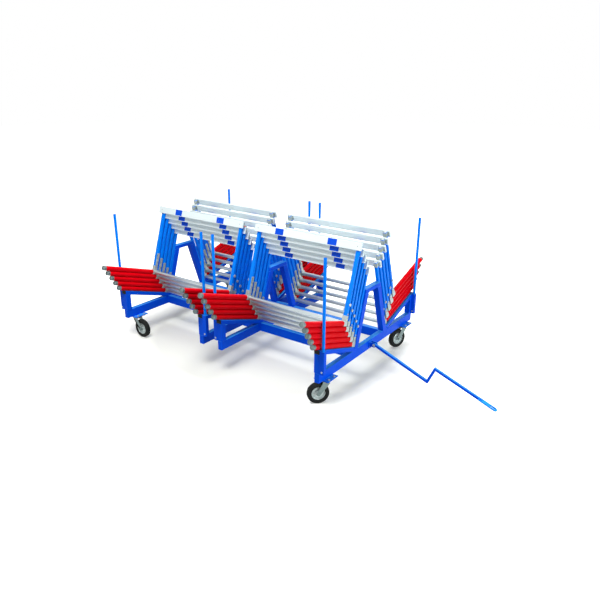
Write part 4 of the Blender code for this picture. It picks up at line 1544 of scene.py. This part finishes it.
    def model_fittings(self) -> bpy.types.Object:
        """Models the bright metal: corners, scales, knobs, clips and screws."""
        piece = Piece("fittings_model")
        half, top = self.upright / 2, self.board_high
        knob = [(0.0, 0.0), (0.0085, 0.0), (0.0128, 0.0025), (0.0135, 0.006), (0.0128, 0.0105),
                (0.0075, 0.0125), (0.0, 0.013)]
        screw = [(0.0, 0.0), (0.0052, 0.0), (0.0048, 0.0012), (0.0024, 0.0020), (0.0, 0.0010)]
        for sign, x in zip((-1, 1), self.stands()):
            inner, outer = x - sign * half, x + sign * half
            self.add_corner(piece, x, sign)
            self.add_scale(piece, inner, -sign)
            piece.lathe(knob, (outer, 0, self.knob_z), (sign, 0, 0), 20)
            piece.hex_bolt((outer, 0, self.knob_z / 2), (sign, 0, 0), 0.0062, 0.005)
            self.add_clip(piece, x)
            piece.box((x - 0.0150, -half + 0.0012, top - 0.006), (x + 0.0150, 0.0140, top - 0.0005), 0.0015)
            piece.lathe(screw, (x, -half - 0.0167, self.board_middle()), (0, -1, 0), 16)
        return piece.finish()

    def add_corner(self, piece: Piece, x: float, sign: int) -> None:
        """Adds the cast corner that joins a foot, an upright and the cross tube.

        Args:
            piece: the fittings.
            x: the upright's middle.
            sign: -1 left, 1 right.
        """
        radius, back = self.foot_radius - 0.0002, self.upright / 2
        piece.box((x - radius, -0.036, -radius), (x + radius, back - 0.0002, radius), 0.006, 3)
        piece.box((x - 0.0205, -0.0215, 0.018), (x + 0.0205, back - 0.0003, 0.072), 0.003)
        inner = x - sign * radius
        plug = [(0.0, 0.0), (0.0222, 0.0), (0.0222, 0.018), (0.0212, 0.022), (0.0, 0.022)]
        piece.lathe(plug, (inner, -0.0020, 0.0), (-sign, 0, 0), 24)
        piece.hex_bolt((x + sign * 0.0205, 0, 0.050), (sign, 0, 0), 0.0055, 0.0045)
        piece.hex_bolt((inner - sign * 0.011, -0.0218, 0.0), (0, -1, 0), 0.0045, 0.0035)

    def model_end_caps(self) -> bpy.types.Object:
        """Models the ringed metal caps at the feet's ends."""
        radius, end = self.foot_radius - 0.0002, self.foot_end
        profile = [(0.0, end - 0.029), (radius - 0.001, end - 0.029), (radius, end - 0.028),
                   (radius, end - 0.003), (radius - 0.0012, end - 0.0008), (radius - 0.003, end),
                   (0.0190, end), (0.0180, end - 0.001), (0.0172, end - 0.0045), (0.0120, end - 0.0040),
                   (0.0100, end - 0.0020), (0.0, end - 0.0015)]
        piece = Piece("end_caps_model")
        for x in self.stands():
            piece.lathe(profile, (x, 0, 0), (0, -1, 0), 32)
        return piece.finish()

    def add_scale(self, piece: Piece, face: float, way: int) -> None:
        """Adds the height scale and its catch on an upright's inner face.

        Args:
            piece: the fittings.
            face: the face's X.
            way: the way it faces along X.
        """
        def block(low: Point, high: Point, bevel: float) -> None:
            """A block with its X given outward from the face."""
            piece.box((face + way * low[0], *low[1:]), (face + way * high[0], *high[1:]), bevel)

        block((-0.0005, -0.0165, 0.074), (0.0022, 0.0165, 0.208), 0.0008)
        block((0.0015, -0.0150, 0.112), (0.0100, 0.0090, 0.140), 0.0022)
        block((0.0015, 0.0020, 0.144), (0.0080, 0.0110, 0.198), 0.0016)
        piece.hex_bolt((face + way * 0.0099, -0.002, 0.126), (way, 0, 0), 0.0060, 0.005)
        for z in (0.083, 0.200):
            piece.hex_bolt((face + way * 0.0021, -0.006, z), (way, 0, 0), 0.0045, 0.003)

    def add_clip(self, piece: Piece, x: float) -> None:
        """Adds the strap that holds the board to an upright.

        Args:
            piece: the fittings.
            x: the upright's middle.
        """
        low, high = self.clip_low, self.clip_high
        front, back, middle = -self.upright / 2, 0.0170, (low + high) / 2
        inner, outer, tab = 0.0156, 0.0180, 0.0340
        piece.box((x - outer, 0.0146, low), (x + outer, back, high), 0.0008)
        for edge in (-1, 1):
            near = x + edge * inner
            piece.box((near, front, low), (x + edge * outer, back, high), 0.0008)
            piece.box((near, front + 0.0002, low), (x + edge * tab, front + 0.0022, high), 0.0006)
            piece.hex_bolt((x + edge * 0.0262, front + 0.0021, middle), (0, 1, 0), 0.0046, 0.004)
        piece.hex_bolt((x, back - 0.0001, middle), (0, 1, 0), 0.0030, 0.0008)

    def model_trim(self) -> bpy.types.Object:
        """Models black discs along the scales, painted shade that stands in for the scales' shaded holes,
        and the plugs in the uprights' sides.
        """
        piece = Piece("trim_model")
        half = self.upright / 2
        for sign, x in zip((-1, 1), self.stands()):
            plate = x - sign * (half + 0.0014)
            # Painted shade: six black discs on the scale stand for its holes
            for k in range(6):
                y, z = -0.0075, 0.150 + 0.009 * k
                piece.rod((plate, y, z), (plate - sign * 0.0013, y, z), 0.0026, 0.0002, 12)
            side = x + sign * (half - 0.0005)
            for z in (0.262, 0.288):
                piece.rod((side, 0, z), (side + sign * 0.0012, 0, z), 0.0036, 0.0003, 14)
        return piece.finish()


@dataclass
class Studio:
    """The camera at the photograph's angle, the floor, the lamps and the sky.

    Attributes:
        eye: where the camera is.
        right, up, view: its axes.
        lens, sensor: its lens and its sensor's width, in millimetres.
        floor_seen, floor_lit: the floor's colour to the camera and to light.
        sky: how strong the sky is as light.
        glow_from, glow_to: how far out the floor starts to turn plain white, and where it is white.
    """

    eye: Point = (3.1237, -4.6638, 2.7281)
    right: Point = (0.81427, 0.58045, 0.00634)
    up: Point = (-0.21106, 0.28587, 0.93474)
    view: Point = (-0.54075, 0.76247, -0.35529)
    lens: float = 36.245
    sensor: float = 36.0
    floor_seen: Colour = (0.88, 0.88, 0.81)
    floor_lit: Colour = (0.40, 0.40, 0.38)
    sky: float = 0.18
    glow_from: float = 1.05
    glow_to: float = 1.6

    def build(self) -> None:
        """Builds the whole set."""
        self.build_camera()
        self.build_floor()
        self.build_sky()
        self.build_lamps()
        bpy.context.scene.view_settings.view_transform = "Standard"

    def build_camera(self) -> None:
        """Sets up the camera."""
        data = bpy.data.cameras.new("photo_camera")
        data.lens, data.sensor_width, data.sensor_fit = self.lens, self.sensor, "HORIZONTAL"
        data.clip_end = 100.0
        camera = bpy.data.objects.new("photo_camera", data)
        axes = Matrix((self.right, self.up, [-value for value in self.view])).transposed()
        camera.matrix_world = Matrix.Translation(self.eye) @ axes.to_4x4()
        bpy.context.scene.collection.objects.link(camera)
        bpy.context.scene.camera = camera

    def build_floor(self) -> None:
        """Builds a wide pale floor that shows the cart's soft shadow."""
        bpy.ops.object.select_all(action="DESELECT")
        bpy.ops.mesh.primitive_circle_add(vertices=96, radius=30.0, fill_type="NGON", location=(0, 0, 0))
        floor = bpy.context.object
        floor.name = "studio_floor"
        material = bpy.data.materials.new("pale_floor")
        material.use_nodes = True
        tree = material.node_tree
        nodes = Nodes(tree)
        shader = tree.nodes["Principled BSDF"]
        shader.inputs["Roughness"].default_value = 0.9
        shader.inputs["Specular IOR Level"].default_value = 0.0
        shader.inputs["Emission Color"].default_value = (1.0, 1.0, 1.0, 1.0)
        seen = nodes.seen()
        colour = nodes.mix(seen, self.floor_lit, self.floor_seen)
        where = nodes.add("TexCoord").outputs["Object"]
        narrowed = 0.8
        centred = {"Vector": where, "Location": (-CART_X * narrowed, 0, 0), "Scale": (narrowed, 1, 1)}
        around = nodes.add("Mapping", centred)
        reach = nodes.add("VectorMath", {0: around.outputs[0]}, operation="LENGTH").outputs["Value"]
        lift = nodes.calc("MULTIPLY", seen, nodes.spread(reach, self.glow_from, self.glow_to, 0.03))
        tree.links.new(colour, shader.inputs["Base Color"])
        tree.links.new(lift, shader.inputs["Emission Strength"])
        floor.data.materials.append(material)

    def build_sky(self) -> None:
        """Lights from all round a little, and shows plain white to the camera."""
        world = bpy.data.worlds.new("studio_sky")
        world.use_nodes = True
        bpy.context.scene.world = world
        nodes = Nodes(world.node_tree)
        strength = nodes.spread(nodes.seen(), 0.0, 1.0, self.sky)
        back = world.node_tree.nodes["Background"]
        back.inputs["Color"].default_value = (1.0, 1.0, 1.0, 1.0)
        world.node_tree.links.new(strength, back.inputs["Strength"])

    def build_lamps(self) -> None:
        """Adds the soft lamps."""
        self.add_lamp("top_lamp", (0.0, -2.7, 4.6), (-0.5, 0, 0.5), 1.8, 185.0, (1.0, 0.99, 0.97))
        self.add_lamp("high_lamp", (0.0, 0.9, 5.2), (-0.4, 0, 0.5), 2.4, 110.0, (0.92, 0.98, 1.0))
        self.add_lamp("right_lamp", (6.0, -0.5, 0.75), (-0.4, 0, 0.6), 2.6, 290.0, (0.88, 1.0, 1.0))
        self.add_lamp("front_lamp", (-1.8, -6.5, 1.6), (-0.4, 0, 0.6), 3.0, 55.0, (0.86, 0.96, 1.0))
        self.add_lamp("back_lamp", (-2.2, 5.8, 2.6), (-0.4, 0, 0.6), 3.0, 150.0, (0.95, 0.98, 1.0))

    def add_lamp(self, name: str, place: Point, target: Point, size: float, power: float,
                 tint: Colour) -> None:
        """Adds a square area lamp.

        Args:
            name: its name.
            place: where it hangs.
            target: what it faces.
            size: its side.
            power: its power in watts.
            tint: its colour.
        """
        data = bpy.data.lights.new(name, "AREA")
        data.shape, data.size, data.energy, data.color = "SQUARE", size, power, tint
        lamp = bpy.data.objects.new(name, data)
        lamp.location = place
        lamp.rotation_euler = (Vector(target) - Vector(place)).to_track_quat("-Z", "Y").to_euler()
        bpy.context.scene.collection.objects.link(lamp)


def main() -> None:
    """Builds the studio and then every sub-assembly."""
    logging.basicConfig(level=logging.INFO, format="%(message)s")
    Studio().build()
    finishes = Finishes()
    frames = CrossFrames(finishes)
    frames.build()
    StakeRods(finishes, frames).build()
    Drawbar(finishes).build()
    Casters(finishes, frames).build()
    Hurdles(finishes, frames).build()


if __name__ == "__main__":
    main()
